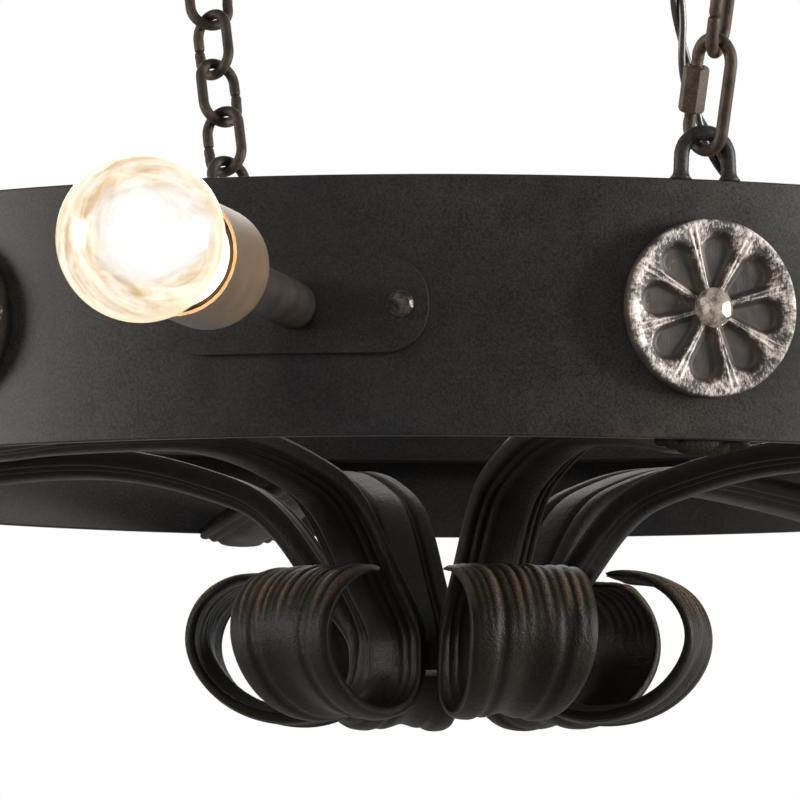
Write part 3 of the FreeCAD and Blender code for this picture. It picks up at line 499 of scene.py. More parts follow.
def forged_finish():
    material, place = new_finish("dark_bronze_forging")
    crest = place.node("Attribute", {"attribute_name": "crest"}, out="Fac")
    cloud = place.noise(60.0, 4.0, 0.6)
    grain = place.noise(1100.0, 3.0, 0.6)
    base = cloud.between(0.3, 0.7).colours(rgb(0.0034, 0.0028, 0.0021),
                                           rgb(0.0072, 0.0059, 0.0043))
    worn = crest.between(0.30, 0.95) * grain.between(0.30, 0.58) * 0.8
    return lay_finish(material, place, {
        "Base Color": worn.colours(base, rgb(0.100, 0.074, 0.050)),
        "Roughness": 0.38 + 0.2 * cloud,
        "Specular IOR Level": 0.07,
    }, relief=grain + 1.2 * place.noise(330.0, 3.0), depth=0.30 * MM)


forging = forged_finish()
dress(["hub_core"], forging)
for bay in BAYS:
    show("moulded_spoke_%d" % bay, spoke_mesh("moulded_spoke_%d" % bay, seed=40 + bay), "wheel",
         forging, ["spoke_%d" % bay], bay_place(bay))


# ---- staples and ceiling hooks ----
# A round rod bent to a loop and welded on the band's top edge; a lumpy fillet runs round each
# foot. The hooks in the ceiling are bent from the same rod. Both are coated with the band.
BAND_MID = 0.3024            # the radius of the band's middle
BAND_TALL = 0.1016
STAPLE_ROD = 3.0
STAPLE_BEND = 9.75           # the radius of its bend
STAPLE_STRAIGHT = 8.75       # its legs, from the band to the bend
FILLET_TALL, FILLET_REACH = 3.2, 1.5


def staple_mesh():
    """The rod up one leg, round the bend and down the other; it swells where it is welded."""
    leg = [(STAPLE_BEND + 0.35 * (1 - step / 8), step * STAPLE_STRAIGHT / 8) for step in range(9)]
    bend = [(STAPLE_BEND * math.cos(angle), STAPLE_STRAIGHT + STAPLE_BEND * math.sin(angle))
            for angle in np.linspace(0, math.pi, 25)[1:-1]]
    line = leg + bend + [(-across, height) for across, height in leg[::-1]]
    radii = [STAPLE_ROD + FILLET_REACH * max(0.0, 1 - height / FILLET_TALL) ** 2
             + 0.05 * math.sin(3.1 * height + across) for across, height in line]
    points = [(across * MM, -BAND_MID, WHEEL + BAND_TALL + height * MM) for across, height in line]
    return mesh_of("welded_staple", *rod(points, np.array(radii) * MM, 28))


staple = staple_mesh()
for bay in BAYS:
    show("welded_staple_%d" % bay, staple, "wheel", powder, ["rim_staples"],
         bay_place(bay))
dress(["ceiling_hooks"], powder)


# ---- rosettes ----
# A cast disc with eight hollow petals between thin ridges inside a raised rim. It is blackened,
# and silver is dry brushed over what stands proud, so the hollows stay dark.
ROSETTE_RADIUS = 34.8
ROSETTE_BACK = 305.0         # the disc's back, on the band
ROSETTE_EDGE = 3.0           # its outer edge, where the rounding starts
PETALS = 8
PETAL_TURN = math.radians(-6.5)
# heights over the disc's back
LAND, LAND_RISE = 5.3, 1.5
PETAL_FLOOR = 2.7
RIDGE_TALL, RIM_TALL, LUMP_TALL, EDGE_DROP = 0.55, 0.5, 0.2, 1.3
# the two circles that make a petal: distance from the axis and radius, as shares of the disc's
PETAL_ROOT, PETAL_ROOT_ROUND = 0.285, 0.068
PETAL_BELLY, PETAL_BELLY_ROUND = 0.645, 0.186


def petal_distance(across, along):
    """How far outside a petal's edge a place is, as a share of the disc's radius."""
    span = PETAL_BELLY - PETAL_ROOT
    lean = (PETAL_ROOT_ROUND - PETAL_BELLY_ROUND) / span
    level = math.sqrt(1 - lean * lean)
    across = abs(across)
    along = along - PETAL_ROOT
    where = -lean * across + level * along
    at_root = np.hypot(across, along) - PETAL_ROOT_ROUND
    at_belly = np.hypot(across, along - span) - PETAL_BELLY_ROUND
    beside = level * across + lean * along - PETAL_ROOT_ROUND
    return np.where(where < 0, at_root, np.where(where > level * span, at_belly, beside))


def ring_at(radius, height, angles):
    """A ring round Z; radius and height are one value, or one for each angle."""
    return np.stack([radius * np.cos(angles), radius * np.sin(angles),
                     np.broadcast_to(height, len(angles))], 1)


def on_band(points, face):
    """Points in mm, standing up Z, laid on the band at azimuth 0 with their foot at face."""
    placed = np.stack([points[:, 0], -points[:, 2] - face, points[:, 1]], 1) * MM
    return placed + np.array([0, 0, WHEEL + BAND_TALL / 2])


def rosette_mesh():
    chance = random.Random(7)
    reaches = np.concatenate([np.linspace(0.10, 0.86, 46), np.linspace(0.87, 0.985, 12), [1.0]])
    angles = PETAL_TURN + circle(400)
    lumps = [(chance.uniform(0, 6.28), chance.uniform(6, 17), chance.uniform(5, 12))
             for _ in range(6)]
    half_sector = math.pi / PETALS
    sector = (angles - PETAL_TURN + half_sector) % (2 * half_sector) - half_sector
    rings, marks, reached = [], [], []
    for reach in reaches:
        outside = petal_distance(reach * np.sin(sector), reach * np.cos(sector)) * ROSETTE_RADIUS
        hollow = eased(0.5 - outside / 3.4)
        ridge_side = reach * np.sin(half_sector - abs(sector)) * ROSETTE_RADIUS
        ridge = np.exp(-((ridge_side - 0.25 - 1.15 * reach) / 0.42) ** 2)
        ridge *= eased((0.97 - reach) / 0.12)
        rim = eased((reach - 0.875) / 0.05)
        rounded = math.sqrt(max(0.0, 1 - ((reach - 0.955) / 0.045) ** 2)) if reach > 0.955 else 1.0
        lump = sum(math.sin(start + fall * reach * 3) * np.sin(round(count) * angles + start)
                   for start, count, fall in lumps) / len(lumps)
        land = LAND + LAND_RISE * reach ** 2
        height = land - (land - PETAL_FLOOR) * hollow + RIDGE_TALL * ridge * (1 - hollow)
        height = height + RIM_TALL * rim + LUMP_TALL * lump - EDGE_DROP * (1 - rounded)
        rings.append(ring_at(reach * ROSETTE_RADIUS, height, angles))
        proud = (1 - hollow) ** 1.4 * (0.40 + 0.42 * ridge + 0.16 * reach)
        marks.append(np.clip(proud * (0.35 + 0.65 * rounded) + 0.12 * rim, 0, 1))
        reached.append(reach * ROSETTE_RADIUS)
    bore = 0.09 * ROSETTE_RADIUS
    for radius, height, mark in ((ROSETTE_RADIUS, ROSETTE_EDGE, reached[-1]),
                                 (ROSETTE_RADIUS, 0.0, reached[-1]), (bore, 0.0, reached[0])):
        rings.append(ring_at(radius, height, angles))
        marks.append(np.zeros(len(angles)))
        reached.append(mark)
    points, faces = skin(rings, "joined")
    return mesh_of("cast_rosette", on_band(points, ROSETTE_BACK), faces, {
        "proud": np.concatenate(marks),
        "sweep": np.tile((angles - PETAL_TURN) * 20.0, len(rings)),
        "reach": np.repeat(reached, len(angles)),
    })


def silvered_finish():
    """The brush's strokes run outwards, so their noise is drawn out along the disc's radius."""
    material, place = new_finish("silver_brushed_casting")
    proud, sweep, reach = (place.node("Attribute", {"attribute_name": mark}, out="Fac")
                           for mark in ("proud", "sweep", "reach"))
    polar = place.node("CombineXYZ", {}, {"X": sweep * 1.5, "Y": reach * 0.42})
    strokes = polar.noise(1.0, 4.0, 0.7)
    crossed = place.stretched((1.0, 1.0, 0.3)).noise(1500.0, 3.0, 0.7)
    dabs = place.noise(110.0, 3.0, 0.6)
    brushed = (0.32 * strokes + 0.30 * crossed + 0.38 * dabs).between(0.37, 0.60)
    silver = (proud + 1.2 * brushed - 1.10).between(0.0, 0.62)
    hollow = dabs.between(0.35, 0.65).colours(rgb(0.0075, 0.0070, 0.0072),
                                              rgb(0.022, 0.0165, 0.012))
    return lay_finish(material, place, {
        "Base Color": silver.colours(hollow, rgb(0.34, 0.335, 0.335)),
        "Roughness": 0.58 - 0.14 * silver,
        "Metallic": 0.25 * silver,
        "Specular IOR Level": 0.35,
    }, relief=crossed + 0.6 * place.noise(1500.0), depth=0.14 * MM)


silvered = silvered_finish()
rosette = rosette_mesh()
for bay in BAYS:
    show("cast_rosette_%d" % bay, rosette, "wheel", silvered, ["rosettes"],
         bay_place(bay))


# ---- rivets ----
# Round steel rivets whose heads were closed with a hammer, which left flat facets round a flat
# crown. Their tails are clinched behind the band. A cream one holds each rosette, and two dark
# ones hold each lamp plate.
LAMP_TURN = math.radians(30) - 3.0 / 304.8
PLATE_RIVET_TURN = 42.0 / 304.8


def rivet_mesh(name, head, tall, face, shank, tail, seed):
    """A rivet in mm: the radius of its head, shank and tail, and face is where its head seats."""
    chance = random.Random(seed)
    cuts = [(0.0, 0.0, tall * 0.97)]
    for count, steepness in ((6, 36.0), (8, 64.0)):
        for step in range(count):
            angle = 2 * math.pi * (step + chance.uniform(-0.25, 0.25)) / count
            steep = math.radians(steepness * chance.uniform(0.88, 1.08))
            grade = tall / head * math.tan(steep)
            cuts.append((-grade * math.cos(angle), -grade * math.sin(angle),
                         tall / math.cos(steep) * chance.uniform(0.93, 0.99)))
    angles = circle(72)
    rings = []
    for reach in np.linspace(0.02, 1.0, 26):
        across, along = reach * head * np.cos(angles), reach * head * np.sin(angles)
        height = np.min([across * slope_x + along * slope_y + top
                         for slope_x, slope_y, top in cuts], axis=0)
        rings.append(np.stack([across, along, np.maximum(height, 0.9)], 1))
    back = 1000 * BAND_IN - face
    for radius, height in ((0.985 * head, 0.25), (0.95 * head, 0.0), (shank, 0.0),
                           (shank, back + 0.2), (shank, back - 0.1), (0.75 * tail, back - 0.2),
                           (tail, back - 0.2), (tail, back - 0.45 * tail),
                           (0.7 * tail, back - 0.7 * tail)):
        rings.append(ring_at(radius, height, angles))
    points, faces = skin(rings)
    return mesh_of(name, on_band(points, face), faces, smooth=False)


def hammered_finish(name, dark, light):
    material, place = new_finish(name)
    patch = place.noise(300.0, 3.0, 0.6)
    grit = place.noise(1400.0, 2.0)
    return lay_finish(material, place, {
        "Base Color": (0.75 * patch + 0.25 * grit).between(0.40, 0.56).colours(dark, light),
        "Roughness": 0.26 + 0.16 * patch,
        "Metallic": 0.7,
    }, relief=patch, depth=0.08 * MM)


rosette_rivet = rivet_mesh("hammered_rivet", head=7.75, tall=4.9, face=310.95, shank=3.0,
                           tail=5.4, seed=3)
cream_steel = hammered_finish("cream_hammered_steel", rgb(0.080, 0.068, 0.060),
                              rgb(0.25, 0.22, 0.195))
for bay in BAYS:
    show("hammered_rivet_%d" % bay, rosette_rivet, "wheel", cream_steel,
         ["rosette_rivets"], bay_place(bay))

plate_rivet = rivet_mesh("plate_rivet", head=5.15, tall=3.1, face=307.75, shank=2.0, tail=4.0,
                         seed=11)
dark_steel = hammered_finish("dark_hammered_steel", rgb(0.008, 0.008, 0.010),
                             rgb(0.042, 0.033, 0.026))
for bay in BAYS:
    for name, turn in (("a", -PLATE_RIVET_TURN), ("b", PLATE_RIVET_TURN)):
        show("plate_rivet_%d%s" % (bay, name), plate_rivet, "wheel", dark_steel,
             ["plate_rivets"], bay_place(bay, LAMP_TURN + turn))


# ---- lamp arms, sleeves and lampholders ----
# An arm of steel pipe goes through each lamp plate and carries a rolled steel sleeve, both painted
# brown; the sleeve's colour is lightened with painted light, the bulb's glow on it. A glazed cream
# porcelain lampholder fills the sleeve, with a brass screw shell in its bore. The cord enters the
# raceway through a rubber grommet.
def porcelain_finish():
    material, place = new_finish("cream_glazed_porcelain")
    cloud = place.noise(120.0, 3.0)
    return lay_finish(material, place, {
        "Base Color": cloud.colours(rgb(0.66, 0.60, 0.50), rgb(0.78, 0.73, 0.64)),
        "Roughness": 0.16 + 0.1 * cloud,
        "Coat Weight": 0.4,
    }, relief=place.noise(700.0), depth=0.04 * MM)


def brass_finish():
    material, place = new_finish("drawn_brass")
    tarnish = place.noise(180.0, 4.0)
    lines = place.stretched((1.0, 1.0, 9.0)).noise(600.0, 2.0)
    return lay_finish(material, place, {
        "Base Color": tarnish.between(0.35, 0.7).colours(rgb(0.74, 0.56, 0.27),
                                                         rgb(0.42, 0.29, 0.13)),
        "Roughness": 0.22 + 0.22 * tarnish,
        "Metallic": 1.0,
    }, relief=lines, depth=0.03 * MM)


def rubber_finish():
    material, place = new_finish("black_rubber")
    bloom = place.noise(300.0, 3.0)
    return lay_finish(material, place, {
        "Base Color": bloom.colours(rgb(0.012, 0.012, 0.012), rgb(0.026, 0.025, 0.024)),
        "Roughness": 0.62 + 0.15 * bloom,
    }, relief=place.noise(1800.0), depth=0.04 * MM)


def bronzed_finish(name, dark, light):
    material, place = new_finish(name)
    cloud = place.noise(70.0, 3.0)
    grain = place.noise(1600.0, 2.0, 0.6)
    return lay_finish(material, place, {
        "Base Color": (0.6 * cloud + 0.4 * grain).between(0.36, 0.64).colours(dark, light),
        "Roughness": 0.40 + 0.16 * cloud,
        "Metallic": 0.30,
        "Specular IOR Level": 0.2,
    }, relief=grain, depth=0.06 * MM)


# The sleeve's lighter brown is partly its own paint and partly painted light: the bulb's glow on
# it is put into its colour.
dress(["socket_sleeves"], bronzed_finish("brown_sleeve_painted_bulb_glow", rgb(0.040, 0.026, 0.015),
                                         rgb(0.062, 0.042, 0.025)))
dress(["lamp_arms"], bronzed_finish("dark_brown_arm", rgb(0.0060, 0.0046, 0.0036),
                                    rgb(0.014, 0.0105, 0.0080)))
brass = brass_finish()
dress(["lampholders"], porcelain_finish())
dress(["screw_shells"], brass)
dress(["raceway_grommet"], rubber_finish())


# ---- bulbs ----
# A clear globe bulb, lit: blown glass on a brass screw cap, a glass stem inside it, and a cage of
# glowing strands that floods the glass with cream light.
LAMP_CENTRE = WHEEL + BAND_TALL / 2
BULB_END = 473.1             # the end contact, from the wheel's axis, in mm
CAP_TOP = BULB_END + 26.0
GLOBE_CENTRE = BULB_END + 77.0
GLOBE_RADIUS = 30.0
NECK_RADIUS = 13.4
GLOBE_JOIN = math.radians(50)   # where the neck runs into the globe
GLASS_WALL = 0.8
CAP_RADIUS, THREAD_TALL, THREAD_PITCH = 12.5, 0.5, 3.63
CAGE_NEAR, CAGE_NEAR_RADIUS = CAP_TOP + 16.6, 3.2
CAGE_FAR, CAGE_FAR_RADIUS = CAP_TOP + 43.2, 9.0
STRAND_RADIUS = 0.5
# in metres: the white core, off the lamp's axis by GLOW_SIDE, and the amber edge of the glass
GLOW_SIDE = 0.009
CORE_INSIDE, CORE_OUTSIDE = 0.0125, 0.0215
EDGE_INSIDE, EDGE_OUTSIDE = 0.0278, 0.0298


def lathe(profile, around=72, ends="open"):
    """A skin turned about a lamp's axis, from (distance from the wheel's axis, radius) in mm."""
    angles = circle(around)
    rings = [np.stack([radius * np.cos(angles), np.full(around, -reach),
                       radius * np.sin(angles)], 1) for reach, radius in profile]
    points, faces = skin(rings, ends)
    return points * MM + np.array([0, 0, LAMP_CENTRE]), faces


def globe_profile(inset):
    """The neck's hollow curve and the globe, from the cap to the tip."""
    globe, neck = GLOBE_RADIUS - inset, NECK_RADIUS - inset
    join = (GLOBE_CENTRE - globe * math.cos(GLOBE_JOIN), globe * math.sin(GLOBE_JOIN))
    profile = []
    for share in np.linspace(0, 1, 22)[:-1]:
        rise = 0.55 * eased(share) + 0.45 * share ** 2
        profile.append((CAP_TOP + (join[0] - CAP_TOP) * share, neck + (join[1] - neck) * rise))
    for angle in np.linspace(math.pi - GLOBE_JOIN, 0.0, 44):
        profile.append((GLOBE_CENTRE + globe * math.cos(angle),
                        max(0.05, globe * math.sin(angle))))
    return profile


def glass_mesh():
    profile = globe_profile(0.0) + globe_profile(GLASS_WALL)[::-1]
    return mesh_of("clear_globe", *lathe(profile, ends="joined"))


def cap_mesh():
    """The screw cap with its rolled thread, its black glass cone and its lead contact."""
    profile = [(BULB_END, 0.05), (BULB_END, 3.4), (BULB_END + 0.3, 4.3), (BULB_END + 1.5, 4.4),
               (BULB_END + 1.6, 6.0), (BULB_END + 5.5, 12.2)]
    for step in range(109):
        along = 6.0 + step * 0.145
        wave = math.cos(2 * math.pi * along / THREAD_PITCH)
        profile.append((BULB_END + along, CAP_RADIUS + THREAD_TALL * wave))
    profile += [(CAP_TOP - 4.0, 13.0), (CAP_TOP - 0.3, 13.05), (CAP_TOP, 12.8), (CAP_TOP, 0.05)]
    return mesh_of("screw_cap", *lathe(profile, 64))


def stem_mesh():
    """From its flare, sealed to the glass at the cap, to its tip."""
    profile = [(CAP_TOP + along, radius) for along, radius in (
        (0.0, 0.05), (0.0, 11.6), (0.8, 11.4), (2.0, 8.0), (4.0, 4.2), (6.2, 2.6), (30.0, 2.5),
        (38.0, 2.6), (40.0, 1.6), (40.6, 0.05))]
    return mesh_of("glass_stem", *lathe(profile, 32))


def cage_point(radius, reach, angle):
    return np.array([radius * math.cos(angle), -reach, radius * math.sin(angle)])


def strand_mesh():
    """Glowing strands that zigzag round the cage, between the stem's hooks."""
    parts = []
    for number in range(6):
        angle = number * math.pi / 3
        low = cage_point(CAGE_NEAR_RADIUS, CAGE_NEAR, angle)
        high = cage_point(CAGE_FAR_RADIUS, CAGE_FAR, angle)
        following = cage_point(CAGE_NEAR_RADIUS, CAGE_NEAR, angle + math.pi / 3)
        for start, end in ((low, high), (high, following)):
            line = [start + (end - start) * share for share in np.linspace(0, 1, 12)]
            parts.append(rod(line, STRAND_RADIUS, 8))
    points, faces = merged(parts)
    return mesh_of("glowing_strands", points * MM + np.array([0, 0, LAMP_CENTRE]), faces)


def lit_glass_finish():
    """White glass where the cage is behind it, and rings of cream and amber round that."""
    material, place = new_finish("lit_clear_glass")
    parted = place.node("SeparateXYZ", {}, {"Vector": place})
    height = parted.other("Z") - LAMP_CENTRE
    side = parted - GLOW_SIDE
    off_axis = (side * side + height * height) ** 0.5
    swirl = place.stretched((1.0, 0.5, 1.0)).noise(44.0, 2.0, 0.5, 2.2)
    streak = place.stretched((0.4, 1.0, 1.0)).noise(150.0, 3.0, 0.5, 1.5)
    core = 1.0 - (off_axis + 0.016 * swirl - 0.008).between(CORE_INSIDE, CORE_OUTSIDE)
    rings = place.node("CombineXYZ", {}, {"X": 0.75 * (side / off_axis),
                                          "Y": 0.75 * (height / off_axis),
                                          "Z": 150.0 * off_axis})
    ringed = rings.noise(1.5, 3.0, 0.55, 0.7)
    glass = (0.65 * ringed + 0.20 * swirl + 0.15 * streak).between(0.42, 0.58).colours(
        rgb(0.60, 0.40, 0.19), rgb(0.97, 0.88, 0.74))
    edge = ((parted * parted + height * height) ** 0.5).between(EDGE_INSIDE, EDGE_OUTSIDE)
    glass = edge.colours(glass, rgb(0.86, 0.62, 0.38))
    return lay_finish(material, place, {
        "Base Color": rgb(0.004, 0.004, 0.004),
        "Roughness": 0.16,
        "IOR": 1.45,
        "Alpha": 0.62 + 0.36 * core,
        "Emission Color": core.colours(glass, rgb(1.0, 0.99, 0.97)),
        "Emission Strength": 1.0,
    })


def strand_finish():
    material, place = new_finish("glowing_strand")
    heat = place.noise(400.0, 2.0)
    return lay_finish(material, place, {
        "Base Color": rgb(0.9, 0.7, 0.4),
        "Emission Color": heat.colours(rgb(1.0, 0.82, 0.55), rgb(1.0, 0.92, 0.78)),
        "Emission Strength": 30.0,
    })


def stem_finish():
    material, place = new_finish("stem_glass")
    haze = place.noise(90.0, 2.0)
    return lay_finish(material, place, {
        "Base Color": rgb(0.06, 0.058, 0.055),
        "Roughness": 0.1,
        "Alpha": 0.35 + 0.2 * haze,
        "Emission Color": haze.colours(rgb(1.0, 0.80, 0.52), rgb(1.0, 0.92, 0.78)),
        "Emission Strength": 1.2,
    })


lit_glass, strand_glow, stem_glass = lit_glass_finish(), strand_finish(), stem_finish()
globe, cap, stem, strand = glass_mesh(), cap_mesh(), stem_mesh(), strand_mesh()
for bay in BAYS:
    place = bay_place(bay, LAMP_TURN)
    body = "bulb_%d" % bay
    inside = ["bulb_stem_%d" % bay]
    glass = show("clear_globe_%d" % bay, globe, body, lit_glass,
                 ["bulb_glass_%d" % bay], place)
    glass.visible_shadow = False
    show("screw_cap_%d" % bay, cap, body, brass, ["bulb_cap_%d" % bay], place)
    show("glass_stem_%d" % bay, stem, body, stem_glass, inside, place)
    show("glowing_strands_%d" % bay, strand, body, strand_glow, inside, place)


# ---- chains ----
# Links bent from round wire and closed with a butt seam in one side, painted dark bronze. Each
# hangs in the one above it, turned the other way, and the last holds a quick link.
CHAIN_LEAN = math.radians(21)
SEAT_REACH, SEAT_HEIGHT = 0.361029, -0.036   # a hook's seat, from the axis and the ceiling
LINK_COUNT = 5
LINK_WIRE, LINK_SPREAD, LINK_REACH = 2.5, 18.8, 31.6
LINK_PLAY = 0.3
LINK_STEP, TOP_BOW = 26.3, 5.6               # from link to link, and the first link's top
SEAM_START, SEAM_SHARE = 6.4, 0.9985         # where the wire starts, and how much it goes round
# degrees that each link is turned by, and last the quick link
TURNS_FRONT = [0, 75, 10, -60, 55, -65]
TURNS_REST = [0, -62, 16, -54, 16, -65]


def link_line(spread, reach, top, start, length, count):
    """Points round a round-ended link from a place on its left bar, down and round."""
    bend = spread / 2
    straight = reach - spread
    whole = 2 * straight + 2 * math.pi * bend
    points = []
    for share in np.linspace(0, 1, count):
        run = (start + share * length * whole) % whole
        if run < straight:
            points.append((-bend, 0, top - bend - run))
        elif run < straight + math.pi * bend:
            angle = (run - straight) / bend
            points.append((-bend * math.cos(angle), 0,
                           top - reach + bend - bend * math.sin(angle)))
        elif run < 2 * straight + math.pi * bend:
            points.append((bend, 0, top - reach + bend + run - straight - math.pi * bend))
        else:
            angle = (run - 2 * straight - math.pi * bend) / bend
            points.append((bend * math.cos(angle), 0, top - bend + bend * math.sin(angle)))
    return np.array(points)


def turned(points, degrees):
    return points @ np.array(Matrix.Rotation(math.radians(degrees), 3, "Z")).T


def chain_link(top, degrees):
    """One link with its seam: the two ends of the wire meet a little out of line."""
    line = link_line(LINK_SPREAD, LINK_REACH, top, SEAM_START, SEAM_SHARE, 97)
    radii = np.full(len(line), LINK_WIRE)
    pinch = np.array([0.55, 0.12, 0.02])
    radii[:3] -= pinch
    radii[-3:] -= pinch[::-1]
    line[:4, 0] -= 0.22
    points, faces = rod(line, radii)
    return turned(points, degrees), faces


def bronze_finish():
    material, place = new_finish("dark_bronze_paint")
    cloud = place.noise(130.0, 4.0, 0.6)
    grit = place.noise(1700.0, 3.0, 0.65)
    rub = (0.5 * cloud + 0.5 * grit).between(0.44, 0.68)
    return lay_finish(material, place, {
        "Base Color": rub.colours(rgb(0.0085, 0.0066, 0.0048), rgb(0.046, 0.034, 0.024)),
        "Roughness": 0.44 + 0.2 * cloud,
        "Metallic": 0.10,
        "Specular IOR Level": 0.15,
    }, relief=grit, depth=0.14 * MM)


def chain_place(bay):
    """From a chain's own space, hanging from its hook's seat, to its place at the wheel."""
    return (bay_place(bay) @ Matrix.Translation((0, -SEAT_REACH, SEAT_HEIGHT))
            @ Matrix.Rotation(CHAIN_LEAN, 4, "X"))


bronze = bronze_finish()
for bay in BAYS:
    turns = TURNS_FRONT if bay == 1 else TURNS_REST
    points, faces = merged([chain_link(TOP_BOW - index * LINK_STEP, turns[index] + index % 2 * 180)
                            for index in range(LINK_COUNT)])
    show("chain_links_%d" % bay, mesh_of("chain_links_%d" % bay, points * MM, faces),
         "chain_%d_body" % bay, bronze, ["chain_%d" % bay], chain_place(bay))


# ---- quick links and their sleeve nuts ----
# A long link with a gap in one bar; the bar's ends are threaded, and a hexagonal sleeve nut is
# run down over the gap to close it. Same bronze paint, with bright thread at the nut.
QUICK_WIRE, QUICK_SPREAD, QUICK_REACH = 2.5, 18.0, 44.5
QUICK_TOP = (TOP_BOW - LINK_REACH - (LINK_COUNT - 1) * LINK_STEP + LINK_WIRE + QUICK_WIRE
             + LINK_PLAY)
QUICK_GAP = 5.2
QUICK_TURN = TURNS_FRONT[-1]
THREAD_RADIUS, THREAD_WAVE, THREAD_STEP = 2.36, 0.13, 0.8
THREAD_PAST = 3.0            # thread that shows at each end of the nut
NUT_LENGTH, NUT_FLATS, NUT_BORE, NUT_EDGE = 18.5, 9.4, 2.8, 1.3
NUT_LOW = QUICK_TOP - QUICK_REACH / 2 - NUT_LENGTH / 2
NUT_COVER = 0.6              # how far the nut reaches below the gap


def quick_mesh():
    """The wire from the gap's lower side down and round to its upper side, threaded there."""
    bend = QUICK_SPREAD / 2
    whole = 2 * (QUICK_REACH - QUICK_SPREAD) + 2 * math.pi * bend
    start = QUICK_TOP - bend - (NUT_LOW + NUT_COVER)
    line = link_line(QUICK_SPREAD, QUICK_REACH, QUICK_TOP, start, 1 - QUICK_GAP / whole, 420)
    height = line[:, 2]
    threaded = ((line[:, 0] < 0.4 - bend) & (height > NUT_LOW - THREAD_PAST)
                & (height < NUT_LOW + NUT_LENGTH + THREAD_PAST))
    wave = THREAD_RADIUS + THREAD_WAVE * np.cos(2 * math.pi * height / THREAD_STEP)
    points, faces = rod(line, np.where(threaded, wave, QUICK_WIRE))
    return mesh_of("threaded_quick_link", turned(points, QUICK_TURN) * MM, faces)


def sleeve_nut_mesh():
    """A hexagon with its corners turned down at both ends, and its bore."""
    corner = NUT_FLATS / 2 / math.cos(math.pi / 6)
    angles = circle(96)
    sector = (angles + math.pi / 6) % (math.pi / 3) - math.pi / 6
    hexagon = np.minimum(NUT_FLATS / 2 / np.cos(sector), corner - 0.12)
    # how far in from an end, and how much of the corners is off there
    ends = [(0.0, NUT_EDGE), (0.35, 0.75), (0.8, 0.36), (NUT_EDGE, 0.0)]
    rings = [ring_at(np.minimum(hexagon, corner - off), inset, angles) for inset, off in ends]
    rings += [ring_at(np.minimum(hexagon, corner - off), NUT_LENGTH - inset, angles)
              for inset, off in ends[::-1]]
    rings += [ring_at(NUT_BORE + wider, height, angles)
              for wider, height in ((0.35, NUT_LENGTH), (0.0, NUT_LENGTH - 0.35),
                                    (0.0, 0.35), (0.35, 0.0))]
    points, faces = skin(rings, "joined")
    points = points + np.array([-QUICK_SPREAD / 2, 0, NUT_LOW])
    return mesh_of("sleeve_nut", turned(points, QUICK_TURN) * MM, faces, smooth=False)


quick, sleeve_nut = quick_mesh(), sleeve_nut_mesh()
for bay in BAYS:
    show("threaded_quick_link_%d" % bay, quick, "chain_%d_body" % bay, bronze,
         ["quick_link_%d" % bay], chain_place(bay))
    show("sleeve_nut_%d" % bay, sleeve_nut, "nut_%d_body" % bay, bronze,
         ["quick_nut_%d" % bay], chain_place(bay))


# ---- floor, light and background ----
# A pale painted floor far below the wheel, four soft boxes round it and a white room. The bulbs'
# own light falls on the band beside them.
FLOOR_HEIGHT = -1.25
FLOOR_HALF = 9.0
FLOOR_WHITE = 0.6            # share of plain white in the floor where it is only looked at
ROOM_LIGHT = 0.13
BOX_SPREAD = math.radians(60)
BULB_LIGHT = 6.0
WHEEL_MIDDLE = Vector((0, 0, LAMP_CENTRE))


def seen_white(tree):
    """1 for what the camera, glass and glossy metal look at, 0 for what lights the object."""
    camera_ray = Tone(tree).node("LightPath", out="Is Camera Ray")
    return (camera_ray + camera_ray.other("Is Transmission Ray")
            + camera_ray.other("Is Glossy Ray")).between(0.0, 1.0)


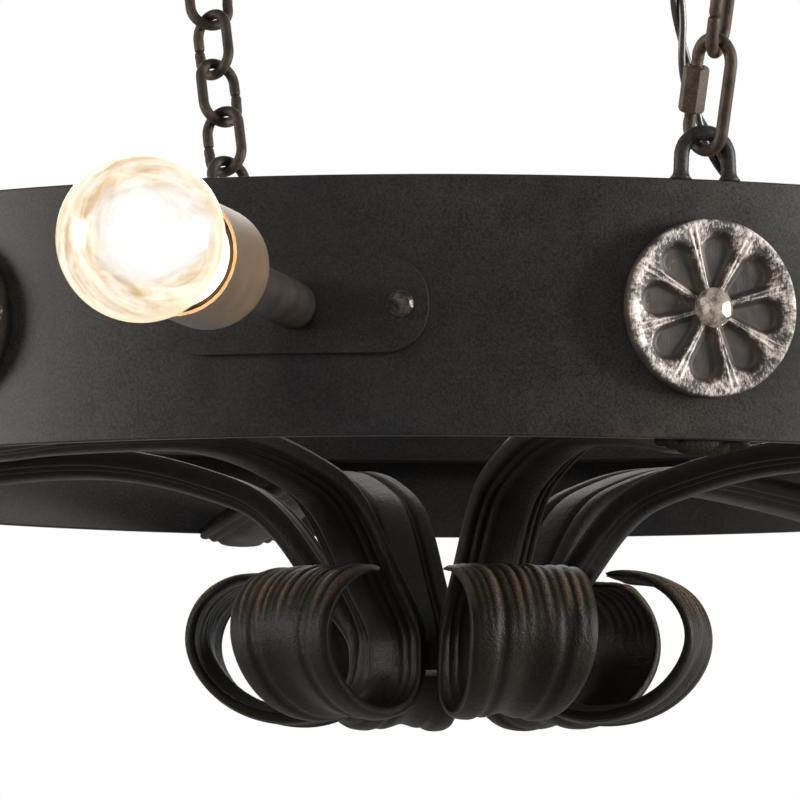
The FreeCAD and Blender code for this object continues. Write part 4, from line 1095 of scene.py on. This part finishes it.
def floor_finish():
    material, place = new_finish("pale_floor")
    cloud = place.noise(0.8, 2.0)
    pale = place.node("BsdfPrincipled", {}, {
        "Base Color": cloud.colours(rgb(0.80, 0.80, 0.80), rgb(0.84, 0.84, 0.84)),
        "Roughness": 0.8,
        "Specular IOR Level": 0.1,
    })
    white = place.node("Emission", {}, {"Color": rgb(1.0, 1.0, 1.0), "Strength": 1.0})
    shown = place.node("MixShader", {}, {0: FLOOR_WHITE * seen_white(place.tree), 1: pale,
                                         2: white})
    place.node("OutputMaterial", {}, {"Surface": shown})
    return material


corners = [(-1, -1), (1, -1), (1, 1), (-1, 1)]
floor_mesh = mesh_of("studio_floor",
                     [(x * FLOOR_HALF, y * FLOOR_HALF, FLOOR_HEIGHT) for x, y in corners],
                     [(0, 1, 2, 3)], smooth=False)
floor_mesh.materials.append(floor_finish())
floor = put("studio_floor", floor_mesh)

world = bpy.data.worlds.new("studio_room")
bpy.context.scene.world = world
world.use_nodes = True
world.node_tree.nodes.clear()
room = Tone(world.node_tree)
seen = seen_white(world.node_tree)
soft = room.node("Background", {}, {"Color": rgb(0.95, 0.97, 1.0), "Strength": ROOM_LIGHT})
white = room.node("Background", {}, {"Color": rgb(1.0, 1.0, 1.0), "Strength": 1.0})
room.node("OutputWorld", {}, {"Surface": room.node("MixShader", {}, {0: seen, 1: soft, 2: white})})

SOFT_BOXES = [
    # name, azimuth in degrees, reach, height, width, power
    ("left_box", -98, 2.3, -0.12, 1.0, 14.0),
    ("right_box", 62, 2.3, -0.12, 1.0, 30.0),
    ("front_box", -30, 3.2, 1.2, 1.2, 4.0),
    ("back_box", 165, 2.4, 0.5, 1.6, 5.0),
]
for name, azimuth, reach, height, width, power in SOFT_BOXES:
    box = bpy.data.lights.new(name, "AREA")
    box.shape = "SQUARE"
    box.size = width
    box.energy = power
    box.spread = BOX_SPREAD
    box.color = (1.0, 0.94, 0.88)
    box_object = put(name, box)
    box_object.location = outwards(math.radians(azimuth)) * reach + UP * height
    aim = WHEEL_MIDDLE - box_object.location
    box_object.rotation_euler = aim.to_track_quat("-Z", "Y").to_euler()
for bay in BAYS:
    glow = bpy.data.lights.new("bulb_glow_%d" % bay, "POINT")
    glow.energy = BULB_LIGHT
    glow.color = (1.0, 0.82, 0.62)
    glow.shadow_soft_size = 0.02
    glow_object = put("bulb_glow_%d" % bay, glow)
    glow_object.visible_glossy = False
    glow_object.location = (outwards(bay_angle(bay, LAMP_TURN)) * (GLOBE_CENTRE * MM)
                            + UP * LAMP_CENTRE)
